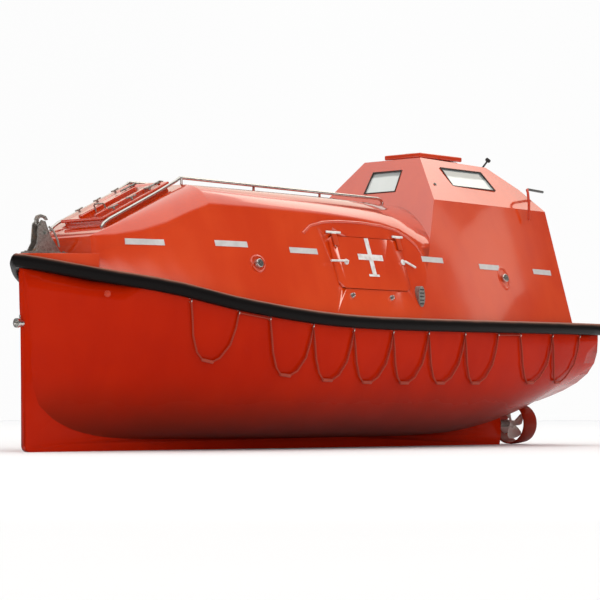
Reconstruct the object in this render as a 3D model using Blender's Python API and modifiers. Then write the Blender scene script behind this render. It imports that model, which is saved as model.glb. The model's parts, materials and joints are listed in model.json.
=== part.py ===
"""Totally enclosed ship's lifeboat of glass-fibre, 7.5 m: hull, canopy, tower, hatches, hooks and propeller.

X runs forward from midship and Y to port. Heights are measured up from the keel's underside, and every
piece hangs on the empty "keel_line", which stands DRAFT below the plane that the boat floats at.
"""

import math

import bmesh
import bpy
from mathutils import Matrix, Vector

# Plan and profile of the gunwale, in metres
BOW_TIP = 3.75
BEAM_STATION = -0.6
HALF_BEAM = 1.35
STERN_X = -3.75
STERN_HALF_BEAM = 1.08
BOW_FULLNESS = (3.0, 1.25)
# Height of the fender's middle at stations from stern to bow: x, height
SHEER = ((-3.75, 1.26), (-0.3, 1.22), (0.9, 1.241), (1.9, 1.352), (2.6, 1.50), (3.2, 1.602), (3.75, 1.735))
DRAFT = 0.60

FENDER_DEPTH = 0.075
FENDER_HEIGHT = 0.124
GAP = 0.0005

# Height of the hull's bottom beside the keel at stations from stern to bow: x, height
BOTTOM = ((-3.75, 0.43), (-3.4, 0.37), (-3.05, 0.25), (-2.3, 0.145), (-1.4, 0.105), (3.75, 0.105))
FOREBODY_X = 2.2
HULL_WALL = 0.07
SOLE_HEIGHT = 0.45

KEEL_HALF_WIDTH = 0.03
SKEG_END_X = -3.25

CANOPY_WALL = 0.04
ROOF_HEIGHT = 2.50
SLOPE_TOP_X = 2.0
SLOPE_TAN = 0.465
SIDE_TAN = 0.331
SIDE_SLANT = math.hypot(1, SIDE_TAN)
FOREDECK_HEIGHT = 1.79
AFT_DECK_HEIGHT = 1.30

# The tower's front face is one leaning plane through the crease's front corner
CREASE_FRONT_X = -1.20
CREASE_HEIGHT = 2.54
CREASE_HALF_WIDTH = 0.80
CREASE_HALF_WIDTH_AFT = 0.675
TOWER_LEAN = 0.5625
TOWER_AFT_X = -3.24
TOWER_HIP = (-2.96, 2.77)
TOWER_TOP_HALF_WIDTH = 0.385
TOWER_TOP_HEIGHT = 3.02
TOWER_TOP_AFT = (-2.57, 2.995)

# Propeller, stern tube and steering nozzle share one shaft height
SHAFT_HEIGHT = 0.232
PROPELLER_X = -3.50
PROPELLER_RADIUS = 0.170
NOZZLE_THROAT = 0.202
NOZZLE_FRONT_X = -3.44
TUNNEL_RADIUS = 0.31

COLOURS = {
    "orange_laminate": ((0.80, 0.07, 0.01, 1), 0.25, 0.0),
    "fender_rubber": ((0.02, 0.02, 0.02, 1), 0.6, 0.0),
    "stainless_steel": ((0.62, 0.60, 0.57, 1), 0.3, 1.0),
    "galvanized_steel": ((0.42, 0.41, 0.38, 1), 0.5, 1.0),
    "window_glass": ((0.75, 0.85, 0.88, 0.35), 0.05, 0.0),
    "bronze": ((0.75, 0.62, 0.42, 1), 0.25, 1.0),
    "rope": ((0.72, 0.12, 0.03, 1), 0.9, 0.0),
    "inside_liner": ((0.78, 0.78, 0.74, 1), 0.6, 0.0),
    "engine_paint": ((0.16, 0.24, 0.20, 1), 0.5, 0.2),
}


# Scene, materials and small modelling helpers

def clear_scene():
    for obj in list(bpy.data.objects):
        bpy.data.objects.remove(obj)


def collection(name, hidden=False):
    made = bpy.data.collections.new(name)
    bpy.context.scene.collection.children.link(made)
    made.hide_render = hidden
    return made


def keel_line():
    """The empty that carries every piece, at the height of the keel's underside."""
    made = bpy.data.objects.new("keel_line", None)
    bpy.context.scene.collection.objects.link(made)
    made.location = (0, 0, -DRAFT)
    return made


def material(name):
    found = bpy.data.materials.get(name)
    if found:
        return found
    colour, roughness, metallic = COLOURS[name]
    made = bpy.data.materials.new(name)
    made.use_nodes = True
    shader = made.node_tree.nodes["Principled BSDF"]
    shader.inputs["Base Color"].default_value = colour
    shader.inputs["Roughness"].default_value = roughness
    shader.inputs["Metallic"].default_value = metallic
    shader.inputs["Alpha"].default_value = colour[3]
    return made


def place(name, data, finish=None, frame=None):
    """An object for a part, or for a cutter where no finish is given."""
    obj = bpy.data.objects.new(name, data)
    obj.parent = KEEL_LINE
    obj.matrix_local = frame or Matrix()
    if finish:
        BOAT.objects.link(obj)
        data.materials.append(material(finish))
    else:
        as_guide(obj)
    return obj


def as_guide(obj):
    for group in list(obj.users_collection):
        group.objects.unlink(obj)
    CUTTERS.objects.link(obj)
    obj.hide_render = True
    obj.display_type = "WIRE"


def mesh_of(name, bm, finish=None, smooth=True, frame=None):
    bmesh.ops.recalc_face_normals(bm, faces=bm.faces)
    data = bpy.data.meshes.new(name)
    bm.to_mesh(data)
    bm.free()
    if smooth:
        data.shade_smooth()
        data.set_sharp_from_angle(angle=math.radians(35))
    return place(name, data, finish, frame)


def box(name, low, high, finish=None, frame=None):
    """A box between two corners, in its frame."""
    low, high = Vector(low), Vector(high)
    bm = bmesh.new()
    bmesh.ops.create_cube(bm, size=1)
    bmesh.ops.scale(bm, vec=high - low, verts=bm.verts)
    bmesh.ops.translate(bm, vec=(low + high) / 2, verts=bm.verts)
    return mesh_of(name, bm, finish, False, frame)


def cylinder(name, start, end, radius, finish=None, sides=24, end_radius=None):
    """A round bar from start to end, or a cone where the end radius differs."""
    start, end = Vector(start), Vector(end)
    along = end - start
    turn = along.to_track_quat("Z", "Y").to_matrix().to_4x4()
    bm = bmesh.new()
    bmesh.ops.create_cone(
        bm, cap_ends=True, segments=sides, radius1=radius,
        radius2=radius if end_radius is None else end_radius, depth=along.length,
    )
    return mesh_of(name, bm, finish, frame=Matrix.Translation((start + end) / 2) @ turn)


def bridge_rings(bm, rings, closed=True):
    """Quads between neighbouring rings of equal length."""
    rows = [[bm.verts.new(point) for point in ring] for ring in rings]
    count = len(rows[0])
    for first, second in zip(rows, rows[1:]):
        for i in range(count if closed else count - 1):
            j = (i + 1) % count
            bm.faces.new((first[i], first[j], second[j], second[i]))
    return rows


def loft(name, rings, finish=None, smooth=True):
    """A closed solid through rings of points, with flat ends."""
    bm = bmesh.new()
    rows = bridge_rings(bm, rings)
    bm.faces.new(rows[0])
    bm.faces.new(rows[-1])
    bmesh.ops.remove_doubles(bm, verts=bm.verts, dist=0.00001)
    bmesh.ops.dissolve_degenerate(bm, edges=bm.edges, dist=0.00001)
    return mesh_of(name, bm, finish, smooth)


def tube(name, points, radius, finish, radii=None):
    """A bar or rope of round section along a polyline."""
    data = bpy.data.curves.new(name, "CURVE")
    data.dimensions = "3D"
    data.bevel_depth = radius
    data.bevel_resolution = 2
    data.use_fill_caps = True
    spline = data.splines.new("POLY")
    spline.points.add(len(points) - 1)
    for index, point in enumerate(points):
        spline.points[index].co = (*point, 1)
        spline.points[index].radius = radii[index] if radii else 1.0
    return place(name, data, finish)


def plate(name, outline, thickness, frame, finish=None):
    """A flat outline in the frame's XY plane, with half its thickness on each side."""
    data = bpy.data.curves.new(name, "CURVE")
    data.dimensions = "2D"
    data.fill_mode = "BOTH"
    data.extrude = thickness / 2
    spline = data.splines.new("POLY")
    spline.points.add(len(outline) - 1)
    for point, (x, y) in zip(spline.points, outline):
        point.co = (x, y, 0, 1)
    spline.use_cyclic_u = True
    return as_mesh(place(name, data, finish, frame))


def as_mesh(curve):
    """A curve object made a mesh with welded caps, so that it can be cut, joined or a cutter."""
    bpy.context.view_layer.update()
    graph = bpy.context.evaluated_depsgraph_get()
    data = bpy.data.meshes.new_from_object(curve.evaluated_get(graph))
    bm = bmesh.new()
    bm.from_mesh(data)
    bmesh.ops.remove_doubles(bm, verts=bm.verts, dist=0.00001)
    bm.to_mesh(data)
    bm.free()
    name, group = curve.name, curve.users_collection[0]
    curve.name = name + "_curve"
    made = bpy.data.objects.new(name, data)
    group.objects.link(made)
    made.parent = curve.parent
    made.matrix_world = curve.matrix_world
    made.hide_render = curve.hide_render
    made.display_type = curve.display_type
    bpy.data.objects.remove(curve)
    return made


def boolean(target, other, operation="DIFFERENCE"):
    modifier = target.modifiers.new(operation.lower() + "_" + other.name, "BOOLEAN")
    modifier.operation = operation
    modifier.object = other
    modifier.solver = "EXACT"


def join(target, *others):
    """Adds shapes that overlap the target to its solid. Each becomes a guide."""
    for other in others:
        as_guide(other)
        boolean(target, other, "UNION")


def bevel(obj, width, segments=2):
    modifier = obj.modifiers.new("rounded_edges", "BEVEL")
    modifier.width = width
    modifier.segments = segments
    modifier.limit_method = "ANGLE"
    modifier.angle_limit = math.radians(30)


def hang(pivot, at, direction, *pieces):
    """Gives a moving body an empty on its joint's axis, X along the axis, and parents its pieces to it."""
    empty = bpy.data.objects.new(pivot, None)
    bpy.context.scene.collection.objects.link(empty)
    empty.parent = KEEL_LINE
    bpy.context.view_layer.update()
    turn = Vector(direction).to_track_quat("X", "Z").to_matrix().to_4x4()
    empty.matrix_local = Matrix.Translation(at) @ turn
    bpy.context.view_layer.update()
    for piece in pieces:
        stays_at = piece.matrix_world.copy()
        piece.parent = empty
        piece.matrix_world = stays_at


def smoothstep(value):
    value = min(1.0, max(0.0, value))
    return value * value * (3 - 2 * value)


def mix(a, b, share):
    return a + (b - a) * share


def slope_at(table, row, column):
    """Slope of a column at one of its rows, between the rows before and after it."""
    before = table[max(row - 1, 0)]
    after = table[min(row + 1, len(table) - 1)]
    return (after[column] - before[column]) / (after[0] - before[0])


def smooth_through(table, x, column=1):
    """A column's value at x, on a smooth curve through the rows. Each row starts with its x."""
    row = 0
    while row < len(table) - 2 and table[row + 1][0] < x:
        row += 1
    span = table[row + 1][0] - table[row][0]
    t = min(1.0, max(0.0, (x - table[row][0]) / span))
    start, end = table[row][column], table[row + 1][column]
    leave, arrive = slope_at(table, row, column) * span, slope_at(table, row + 1, column) * span
    ends = start * (1 + 2 * t) * (1 - t) ** 2 + end * t * t * (3 - 2 * t)
    return ends + leave * t * (1 - t) ** 2 - arrive * t * t * (1 - t)


def side_on(y):
    """Frame of an upright plane along the boat: X forward, Y up, Z to starboard."""
    return Matrix.Translation((0, y, 0)) @ Matrix.Rotation(math.radians(90), 4, "X")


def rounded_rectangle(x0, x1, y0, y1, radius, steps=4):
    outline = []
    for cx, cy, first in ((x1 - radius, y1 - radius, 0), (x0 + radius, y1 - radius, 90),
                          (x0 + radius, y0 + radius, 180), (x1 - radius, y0 + radius, 270)):
        for step in range(steps):
            turn = math.radians(first + 90 * step / (steps - 1))
            outline.append((cx + radius * math.cos(turn), cy + radius * math.sin(turn)))
    return outline


def oval(x, y, half_x, half_y, sides=16):
    turns = [2 * math.pi * step / sides for step in range(sides)]
    return [(x + half_x * math.cos(turn), y + half_y * math.sin(turn)) for turn in turns]


# The gunwale, where hull, canopy, tower and fender meet

STATIONS = [STERN_X + 0.25 * step for step in range(29)] + [3.37, 3.47, 3.56, 3.63, 3.69]


def half_beam(x):
    """Half the beam over the fender at a station."""
    if x > BEAM_STATION:
        power, root = BOW_FULLNESS
        u = min(1.0, (x - BEAM_STATION) / (BOW_TIP - BEAM_STATION))
        return HALF_BEAM * (1 - u**power) ** (1 / root)
    u = (BEAM_STATION - x) / (BEAM_STATION - STERN_X)
    return HALF_BEAM - (HALF_BEAM - STERN_HALF_BEAM) * u * u


def sheer(x):
    return smooth_through(SHEER, x)


def gunwale(inset):
    """Points (x, y) of the port gunwale, stern to stem, inset from the fender's outside."""
    fine = 0.004
    found = []
    for x in STATIONS:
        ahead, behind = x + fine, x - fine
        run = Vector((ahead - behind, half_beam(ahead) - half_beam(behind))).normalized()
        found.append((x + run.y * inset, half_beam(x) - run.x * inset))
    found[0] = (STERN_X, found[0][1])
    found.append((BOW_TIP - inset, 0.0))
    return found


def gunwale_width(x, inset):
    """Half width between the gunwales at any x, read along the same straight pieces."""
    points = gunwale(inset)
    for (x0, y0), (x1, y1) in zip(points, points[1:]):
        if x0 <= x <= x1:
            return mix(y0, y1, (x - x0) / (x1 - x0))
    return points[0][1] if x < points[0][0] else 0.0


def hull_top(x):
    """Height of the hull's upper edge at any x, read along the same straight pieces."""
    points = gunwale(FENDER_DEPTH + GAP)
    for (x0, _), (x1, _) in zip(points, points[1:]):
        if x0 <= x <= x1:
            return mix(sheer(x0), sheer(x1), (x - x0) / (x1 - x0))
    return sheer(x)


def stations_between(first, last):
    """The hull's stations in a range, with both its ends."""
    inside = [x for x, _ in gunwale(FENDER_DEPTH + GAP) if first + 0.02 < x < last - 0.02]
    return [first] + inside + [last]


# Hull: a moulding that is full amidships, sharp at the stem and shallow at the transom

HULL_LEVELS = (0.0, 0.02, 0.06, 0.12, 0.2, 0.3, 0.42, 0.56, 0.7, 0.85, 1.0)
# Power and root of the section's curve
SECTION_MIDSHIP = (2.6, 2.4)
SECTION_BOW = (1.45, 1.15)
SECTION_STERN = (3.8, 0.87)


def hull_bottom(x):
    return smooth_through(BOTTOM, x)


def section_share(x, level):
    """Half breadth at a level, as a share of the half breadth at the gunwale."""
    bow = smoothstep((x - 0.6) / 2.9)
    stern = smoothstep((-1.2 - x) / 2.3)
    power = mix(mix(SECTION_MIDSHIP[0], SECTION_BOW[0], bow), SECTION_STERN[0], stern)
    root = mix(mix(SECTION_MIDSHIP[1], SECTION_BOW[1], bow), SECTION_STERN[1], stern)
    return (1 - (1 - level) ** power) ** (1 / root)


def stem_x(level, inset):
    """The hull's foremost x at a level: a raked stem that rounds into the bottom."""
    rake = 0.09 * smoothstep((1.0 - level) / 0.45)
    forefoot = 0.60 * max(0.0, 1 - level / 0.30) ** 2.2
    return BOW_TIP - inset - rake - forefoot


def hull_point(x, y, level, inset, grow):
    length = BOW_TIP - inset - FOREBODY_X
    pulled_back = max(0.0, x - FOREBODY_X) * (BOW_TIP - inset - stem_x(level, inset)) / length
    half_breadth = y * section_share(x, level)
    if level > 0 and y > 0:
        half_breadth += grow
    return x - pulled_back, half_breadth, mix(hull_bottom(x) - grow, sheer(x), level)


def hull_solid(name, finish=None, grow=0.0):
    """The hull's outer form, or one grown by a distance for what fits around it."""
    inset = FENDER_DEPTH + GAP - grow
    rings = []
    for x, y in gunwale(inset):
        port = [hull_point(x, y, level, inset, grow) for level in reversed(HULL_LEVELS)]
        starboard = [(px, -py, pz) for px, py, pz in reversed(port[:-1])]
        rings.append(port + starboard)
    return loft(name, rings, finish)


def hull_half_breadth(x, z, inset=FENDER_DEPTH + GAP):
    """Half breadth of the hull at any x and height, for what fits against it."""
    level = (z - hull_bottom(x)) / (sheer(x) - hull_bottom(x))
    return gunwale_width(x, inset) * section_share(x, min(1.0, max(0.0, level)))


def cabin_well(name, inset=0.0):
    """The space inside the hull: down to a flat sole, and up past the gunwale."""
    rings = []
    for x in (-3.12, -2.8, -2.4, -1.6, -0.6, 0.4, 1.3, 2.0, 2.6, 2.95):
        top = sheer(x) + 0.05
        low = max(SOLE_HEIGHT, hull_bottom(x) + 0.12) + min(inset, 2 * GAP)
        port = []
        for share, narrow in ((1.0, 0.0), (0.45, 0.0), (0.15, 0.0), (0.0, 0.02)):
            z = mix(low, top, share)
            port.append((x, hull_half_breadth(x, min(z, sheer(x))) - HULL_WALL - narrow - inset, z))
        rings.append(port + [(px, -py, pz) for px, py, pz in reversed(port)])
    return loft(name, rings)


def keel_shape():
    """Bar keel with stem and skeg, moulded in one with the hull."""
    corner, heel_x = 0.06, 3.612
    outline = [(3.652, 1.62), (3.640, 1.30), (3.628, 1.145), (3.618, 0.60), (heel_x, corner)]
    for step in range(1, 5):
        turn = math.radians(22.5 * step)
        outline.append((heel_x - corner * (1 - math.cos(turn)), corner * (1 - math.sin(turn))))
    outline += [(SKEG_END_X, 0.0), (SKEG_END_X - 0.025, 0.13), (SKEG_END_X - 0.025, 0.42)]
    outline += [(-2.4, 0.40), (-1.4, 0.25), (-0.6, 0.16), (2.7, 0.16), (3.15, 0.22), (3.38, 0.42)]
    outline += [(3.48, 0.75), (3.53, 1.15), (3.57, 1.62)]
    return plate("keel", outline, 2 * KEEL_HALF_WIDTH, side_on(0))


def build_hull():
    hull = hull_solid("hull", "orange_laminate")
    join(hull, keel_shape())
    boolean(hull, cabin_well("cut_cabin_well"))
    tunnel = ((SKEG_END_X - 0.02, 0, SHAFT_HEIGHT), (STERN_X - 0.2, 0, SHAFT_HEIGHT))
    boolean(hull, cylinder("cut_propeller_tunnel", *tunnel, TUNNEL_RADIUS, sides=32))
    bore = ((PROPELLER_X, 0, 0.3), (PROPELLER_X, 0, NOZZLE_STOCK_TOP + 0.06))
    boolean(hull, cylinder("cut_stock_bore", *bore, NOZZLE_STOCK_RADIUS + 0.006, sides=16))
    return hull


def build_fender():
    """Rubber D section along both gunwales and round the stem, cut square at the transom's corners."""
    half = FENDER_HEIGHT / 2
    profile = (
        (0.0, -half), (0.036, -half), (0.062, -0.045), (FENDER_DEPTH, 0.0), (0.062, 0.045), (0.036, half),
        (0.0, half),
    )
    lines = []
    for out, up in profile:
        side = gunwale(FENDER_DEPTH - out)
        whole = side + [(x, -y) for x, y in reversed(side[:-1])]
        lines.append([(x, y, sheer(x) + up) for x, y in whole])
    return loft("fender", list(zip(*lines)), "fender_rubber")


# Canopy: an arched shell forward of the tower, with a sloping foredeck and a blunt front

# Shape of the section at stations: x, knuckle's height, roof's half width, fullness of the shoulder between
CANOPY = (
    (-1.7, 1.90, 0.30, 1.4), (-1.0, 1.95, 0.32, 1.45), (-0.4, 2.12, 0.36, 1.8), (0.4, 2.18, 0.38, 2.0),
    (1.0, 2.21, 0.38, 2.0), (2.0, 2.21, 0.38, 2.0), (2.3, 2.08, 0.40, 2.0), (2.63, 1.92, 0.42, 2.0),
    (3.1, 1.80, 0.42, 2.0),
)
CANOPY_FIRST_X = -1.7
CANOPY_FRONT_X = 3.10
# Rounding of the front edge: x, then the section's size as a share
CANOPY_NOSE = ((3.135, 0.985), (3.15, 0.95))
FLANGE_WIDTH = 0.036
FLANGE_HEIGHT = 0.03
SHOULDER_STEPS = 8


def roof_height(x):
    return ROOF_HEIGHT - SLOPE_TAN * max(0.0, x - SLOPE_TOP_X)


def canopy_half(x, inset=0.0):
    """Points (y, z) of the canopy's outside at a station, or inset from it, port gunwale to centreline."""
    base_y, base_z = gunwale_width(x, FENDER_DEPTH + 2 * GAP) - inset * SIDE_SLANT, hull_top(x) + GAP
    knuckle, roof_half, fullness = [smooth_through(CANOPY, x, column) for column in (1, 2, 3)]
    roof = roof_height(x) - inset
    side_y, side_z = base_y - FLANGE_WIDTH, base_z + FLANGE_HEIGHT
    knuckle_y = side_y - SIDE_TAN * (knuckle - side_z)
    roof_half = min(roof_half, 0.93 * knuckle_y)
    half = [(base_y, base_z), (side_y, side_z)]
    for step in range(SHOULDER_STEPS + 1):
        turn = math.radians(90 * step / SHOULDER_STEPS)
        across = mix(roof_half, knuckle_y, max(0.0, math.cos(turn)) ** (2 / fullness))
        up = mix(knuckle, roof, math.sin(turn) ** (2 / fullness))
        half.append((across, up))
    return half + [(0.0, roof)]


def arch(x, inset, share=1.0, at=None):
    """One cross-section of the canopy, port gunwale to starboard gunwale."""
    half = canopy_half(x, inset)
    low = half[0][1]
    port = [(x if at is None else at, y * share, mix(low, z, mix(share, 1, 0.4))) for y, z in half]
    return port + [(px, -py, pz) for px, py, pz in reversed(port[:-1])]


def canopy_solid(name, finish=None, inset=0.0, first=CANOPY_FIRST_X):
    """The solid inside the canopy's outer face, or inside a face inset from it."""
    stations = stations_between(first, SLOPE_TOP_X) + stations_between(SLOPE_TOP_X, CANOPY_FRONT_X - inset)[1:]
    rings = [arch(x, inset) for x in stations]
    rings += [arch(x, inset, share, x - inset) for x, share in CANOPY_NOSE]
    return loft(name, rings, finish)


def lower_open(obj, depth):
    """Draws a cutter's base below the gunwale, so that it opens the shell downwards."""
    for vertex in obj.data.vertices:
        if vertex.co.z < hull_top(vertex.co.x) + 3 * GAP:
            vertex.co.z -= depth
    return obj


def tower_front_x(z):
    return CREASE_FRONT_X + (CREASE_HEIGHT - z) * TOWER_LEAN


def canopy_y(x, z):
    """Half width of the canopy's outside at a height."""
    half = canopy_half(x)
    for (y0, z0), (y1, z1) in zip(half, half[1:]):
        if z0 <= z <= z1:
            return mix(y0, y1, (z - z0) / (z1 - z0))
    return 0.0


def build_canopy():
    canopy = canopy_solid("canopy", "orange_laminate")
    inside = canopy_solid("cut_canopy_inside", inset=CANOPY_WALL, first=CANOPY_FIRST_X - 0.1)
    boolean(canopy, lower_open(inside, 0.1))
    low, high, back = 0.9, 3.4, -2.4
    behind = [(tower_front_x(z) + GAP, z) for z in (low, high)] + [(back, high), (back, low)]
    boolean(canopy, plate("cut_behind_tower_front", behind, 3.2, side_on(0)))
    for side, hand in ((1, "port"), (-1, "starboard")):
        boolean(canopy, doorway("cut_doorway_" + hand, side, DOOR_GAP))
    boolean(canopy, slope_box("cut_bow_hatchway", HATCH_LENGTH, HATCH_WIDTH, -0.15, 0.2, GAP))
    return canopy


# Side doors: panels of the canopy's own curve, hung on a rod along the top edge

DOOR_FORE_X = 0.60
DOOR_AFT_X = -0.43
DOOR_LOW = 1.556
DOOR_HIGH = 2.065
DOOR_GAP = 0.006
DOOR_PROUD = 0.012
DOOR_HINGE_Z = 2.10
DOOR_HINGE_OFF = 0.022
DOOR_HINGE_RADIUS = 0.012
HINGE_ARM_HALF = 0.03


def doorway(name, side, grow):
    """The doorway's shape, seen square on from the side, with rounded corners."""
    outline = rounded_rectangle(DOOR_AFT_X - grow, DOOR_FORE_X + grow, DOOR_LOW - grow, DOOR_HIGH + grow, 0.07)
    return plate(name, outline, 0.9, side_on(side * 1.05))


def door_hinge_ends(side):
    """Ends of a door's hinge line, just off the canopy's side."""
    fore, aft = DOOR_FORE_X, DOOR_AFT_X - 0.05
    return [Vector((x, side * (canopy_y(x, DOOR_HINGE_Z) + DOOR_HINGE_OFF), DOOR_HINGE_Z)) for x in (fore, aft)]


def build_side_door(side, hand):
    door = canopy_solid("door_" + hand, "orange_laminate", inset=-DOOR_PROUD)
    inside = canopy_solid("cut_door_inside_" + hand, inset=CANOPY_WALL - 0.005, first=CANOPY_FIRST_X - 0.1)
    boolean(door, lower_open(inside, 0.1))
    boolean(door, doorway("door_outline_" + hand, side, 0.0), "INTERSECT")
    fore, aft = door_hinge_ends(side)
    pieces = [door]
    for end, share, length in (("fore", 0.07, 0.20), ("aft", 0.93, 0.15)):
        middle = fore.lerp(aft, share)
        half_run = (fore - aft).normalized() * length / 2
        name = f"door_hinge_{hand}_{end}"
        knuckle = cylinder(name, middle + half_run, middle - half_run, DOOR_HINGE_RADIUS, "stainless_steel", 12)
        x, y, z = middle.x, canopy_y(middle.x, middle.z), middle.z
        low, high = sorted((side * (y - 0.03), side * (y + 0.10)))
        corners = ((x - HINGE_ARM_HALF, low, z - 0.13), (x + HINGE_ARM_HALF, high, z + 0.004))
        arm = box(f"hinge_arm_{hand}_{end}", *corners)
        boolean(arm, canopy_solid(f"arm_face_{hand}_{end}", inset=-0.030), "INTERSECT")
        join(knuckle, arm)
        boolean(knuckle, canopy_solid("cut_seat_" + name, inset=-DOOR_PROUD - 0.0022))
        pieces.append(knuckle)
    hang(f"door_{hand}_pivot", (fore + aft) / 2, side * (fore - aft), *pieces)


# Bow hatch: a raised coaming and lid square to the sloping foredeck

HATCH_CENTRE_X = 2.48
HATCH_LENGTH = 0.88
HATCH_WIDTH = 0.54
COAMING_WALL = 0.035
COAMING_HEIGHT = 0.030
LID_OVERHANG = 0.022
LID_THICKNESS = 0.03
LID_CLEARANCE = 0.006
HATCH_HINGE_AHEAD = 0.03


def slope_frame():
    """Frame on the sloping foredeck: X down the slope, Y to port, Z out of it."""
    turn = Matrix.Rotation(math.atan(SLOPE_TAN), 4, "Y")
    return Matrix.Translation((HATCH_CENTRE_X, 0, roof_height(HATCH_CENTRE_X))) @ turn


def slope_box(name, length, width, low, high, grow=0.0, finish=None):
    half_x, half_y = length / 2 + grow, width / 2 + grow
    return box(name, (-half_x, -half_y, low), (half_x, half_y, high), finish, slope_frame())


def build_bow_hatch():
    opening = (HATCH_LENGTH, HATCH_WIDTH)
    coaming = slope_box("bow_hatch_coaming", *opening, -0.09, COAMING_HEIGHT, finish="orange_laminate")
    boolean(coaming, slope_box("cut_bow_coaming", *opening, -0.2, 0.2, -COAMING_WALL))
    low = COAMING_HEIGHT + LID_CLEARANCE
    high = low + LID_THICKNESS
    lid = slope_box("bow_hatch_lid", *opening, low, high, LID_OVERHANG, "orange_laminate")
    bevel(lid, 0.008)
    hinge = slope_frame() @ Vector((-HATCH_LENGTH / 2 - LID_OVERHANG - HATCH_HINGE_AHEAD, 0, high))
    hang("bow_hatch_pivot", hinge, (0, -1, 0), lid)


# Tower: a faceted wheelhouse standing on the gunwale, aft of the canopy

TOWER_SHARES = (0.0, 0.33, 0.66, 1.0)


def crease_half_width(share):
    return mix(CREASE_HALF_WIDTH, CREASE_HALF_WIDTH_AFT, share)


def tower_rings(inset, base_drop=0.0):
    """Rings of corners at gunwale, flange, crease, hip and roof. Corners run aft along port, then forward."""
    hip_x, hip_z = TOWER_HIP
    top_x, top_z = TOWER_TOP_AFT
    hip_rise = (hip_z - CREASE_HEIGHT) / (TOWER_TOP_HEIGHT - CREASE_HEIGHT)
    base_z = hull_top(-0.45) + 2 * GAP
    rings = []
    for level, aft_x, z_front, z_aft in (
        ("gunwale", TOWER_AFT_X, base_z, 0.0), ("flange", TOWER_AFT_X, base_z + FLANGE_HEIGHT, 0.0),
        ("crease", TOWER_AFT_X, CREASE_HEIGHT, CREASE_HEIGHT), ("hip", hip_x, hip_z, hip_z),
        ("roof", top_x, TOWER_TOP_HEIGHT, top_z),
    ):
        front = tower_front_x(z_front) - inset * 1.15
        port = []
        for share in TOWER_SHARES:
            x = mix(front, aft_x + inset, share)
            z = mix(z_front, z_aft, share)
            if level in ("gunwale", "flange"):
                drop, flange = (-FLANGE_HEIGHT, FLANGE_WIDTH) if level == "flange" else (base_drop, 0)
                y = gunwale_width(x, FENDER_DEPTH + 2 * GAP) - flange - inset
                z = hull_top(x) + 2 * GAP - drop
            elif level == "crease":
                y = crease_half_width(share) - inset
            elif level == "hip":
                y = mix(crease_half_width(share), TOWER_TOP_HALF_WIDTH, hip_rise) - inset
                z -= inset * 0.3
            else:
                y = TOWER_TOP_HALF_WIDTH - inset * 0.6
                z -= inset
            port.append((x, y, z))
        rings.append(port + [(px, -py, pz) for px, py, pz in reversed(port)])
    return rings


def face_frame(origin, along, up):
    """Frame of a flat face: X along it, Y up it, Z out of it."""
    along, up = Vector(along).normalized(), Vector(up)
    out = along.cross(up).normalized()
    return Matrix.Translation(origin) @ Matrix((along, out.cross(along), out)).transposed().to_4x4()


def front_face():
    z = 2.775
    return face_frame((tower_front_x(z), 0, z), (0, 1, 0), (-TOWER_LEAN, 0, 1))


def side_face(side):
    """Frame of the tower's upper side panel, its X pointing aft on port and forward on starboard."""
    rise = 0.565
    z = mix(CREASE_HEIGHT, TOWER_TOP_HEIGHT, rise)
    y = mix(crease_half_width(0.42), TOWER_TOP_HALF_WIDTH, rise)
    taper = (CREASE_HALF_WIDTH - CREASE_HALF_WIDTH_AFT) * (1 - rise) / (CREASE_FRONT_X - TOWER_AFT_X)
    up = (0, -side * (crease_half_width(0.42) - TOWER_TOP_HALF_WIDTH), TOWER_TOP_HEIGHT - CREASE_HEIGHT)
    return face_frame((-2.03, side * y, z), (-side, -taper, 0), up)


def aft_face():
    """Frame of the tower's lower aft slope, between the aft wall and the hip."""
    hip_x, hip_z = TOWER_HIP
    middle = (mix(TOWER_AFT_X, hip_x, 0.55), 0, mix(CREASE_HEIGHT, hip_z, 0.55))
    return face_frame(middle, (0, -1, 0), (hip_x - TOWER_AFT_X, 0, hip_z - CREASE_HEIGHT))


# Window outlines in their face's frame: name, frame, corners
WINDOWS = (
    ("window_front", front_face(), ((-0.22, -0.135), (0.22, -0.135), (0.204, 0.138), (-0.204, 0.138))),
    ("window_port", side_face(1), ((-0.31, -0.111), (0.44, -0.111), (0.38, 0.144), (-0.33, 0.144))),
    ("window_starboard", side_face(-1), ((-0.44, -0.111), (0.31, -0.111), (0.33, 0.144), (-0.38, 0.144))),
    ("window_aft", aft_face(), ((-0.20, -0.10), (0.20, -0.10), (0.17, 0.10), (-0.17, 0.10))),
)


def shrunk(corners, margin):
    """A window's corners drawn towards its middle."""
    centre = sum((Vector(corner) for corner in corners), Vector((0, 0))) / len(corners)
    return [Vector(corner) - (Vector(corner) - centre).normalized() * margin for corner in corners]


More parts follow.
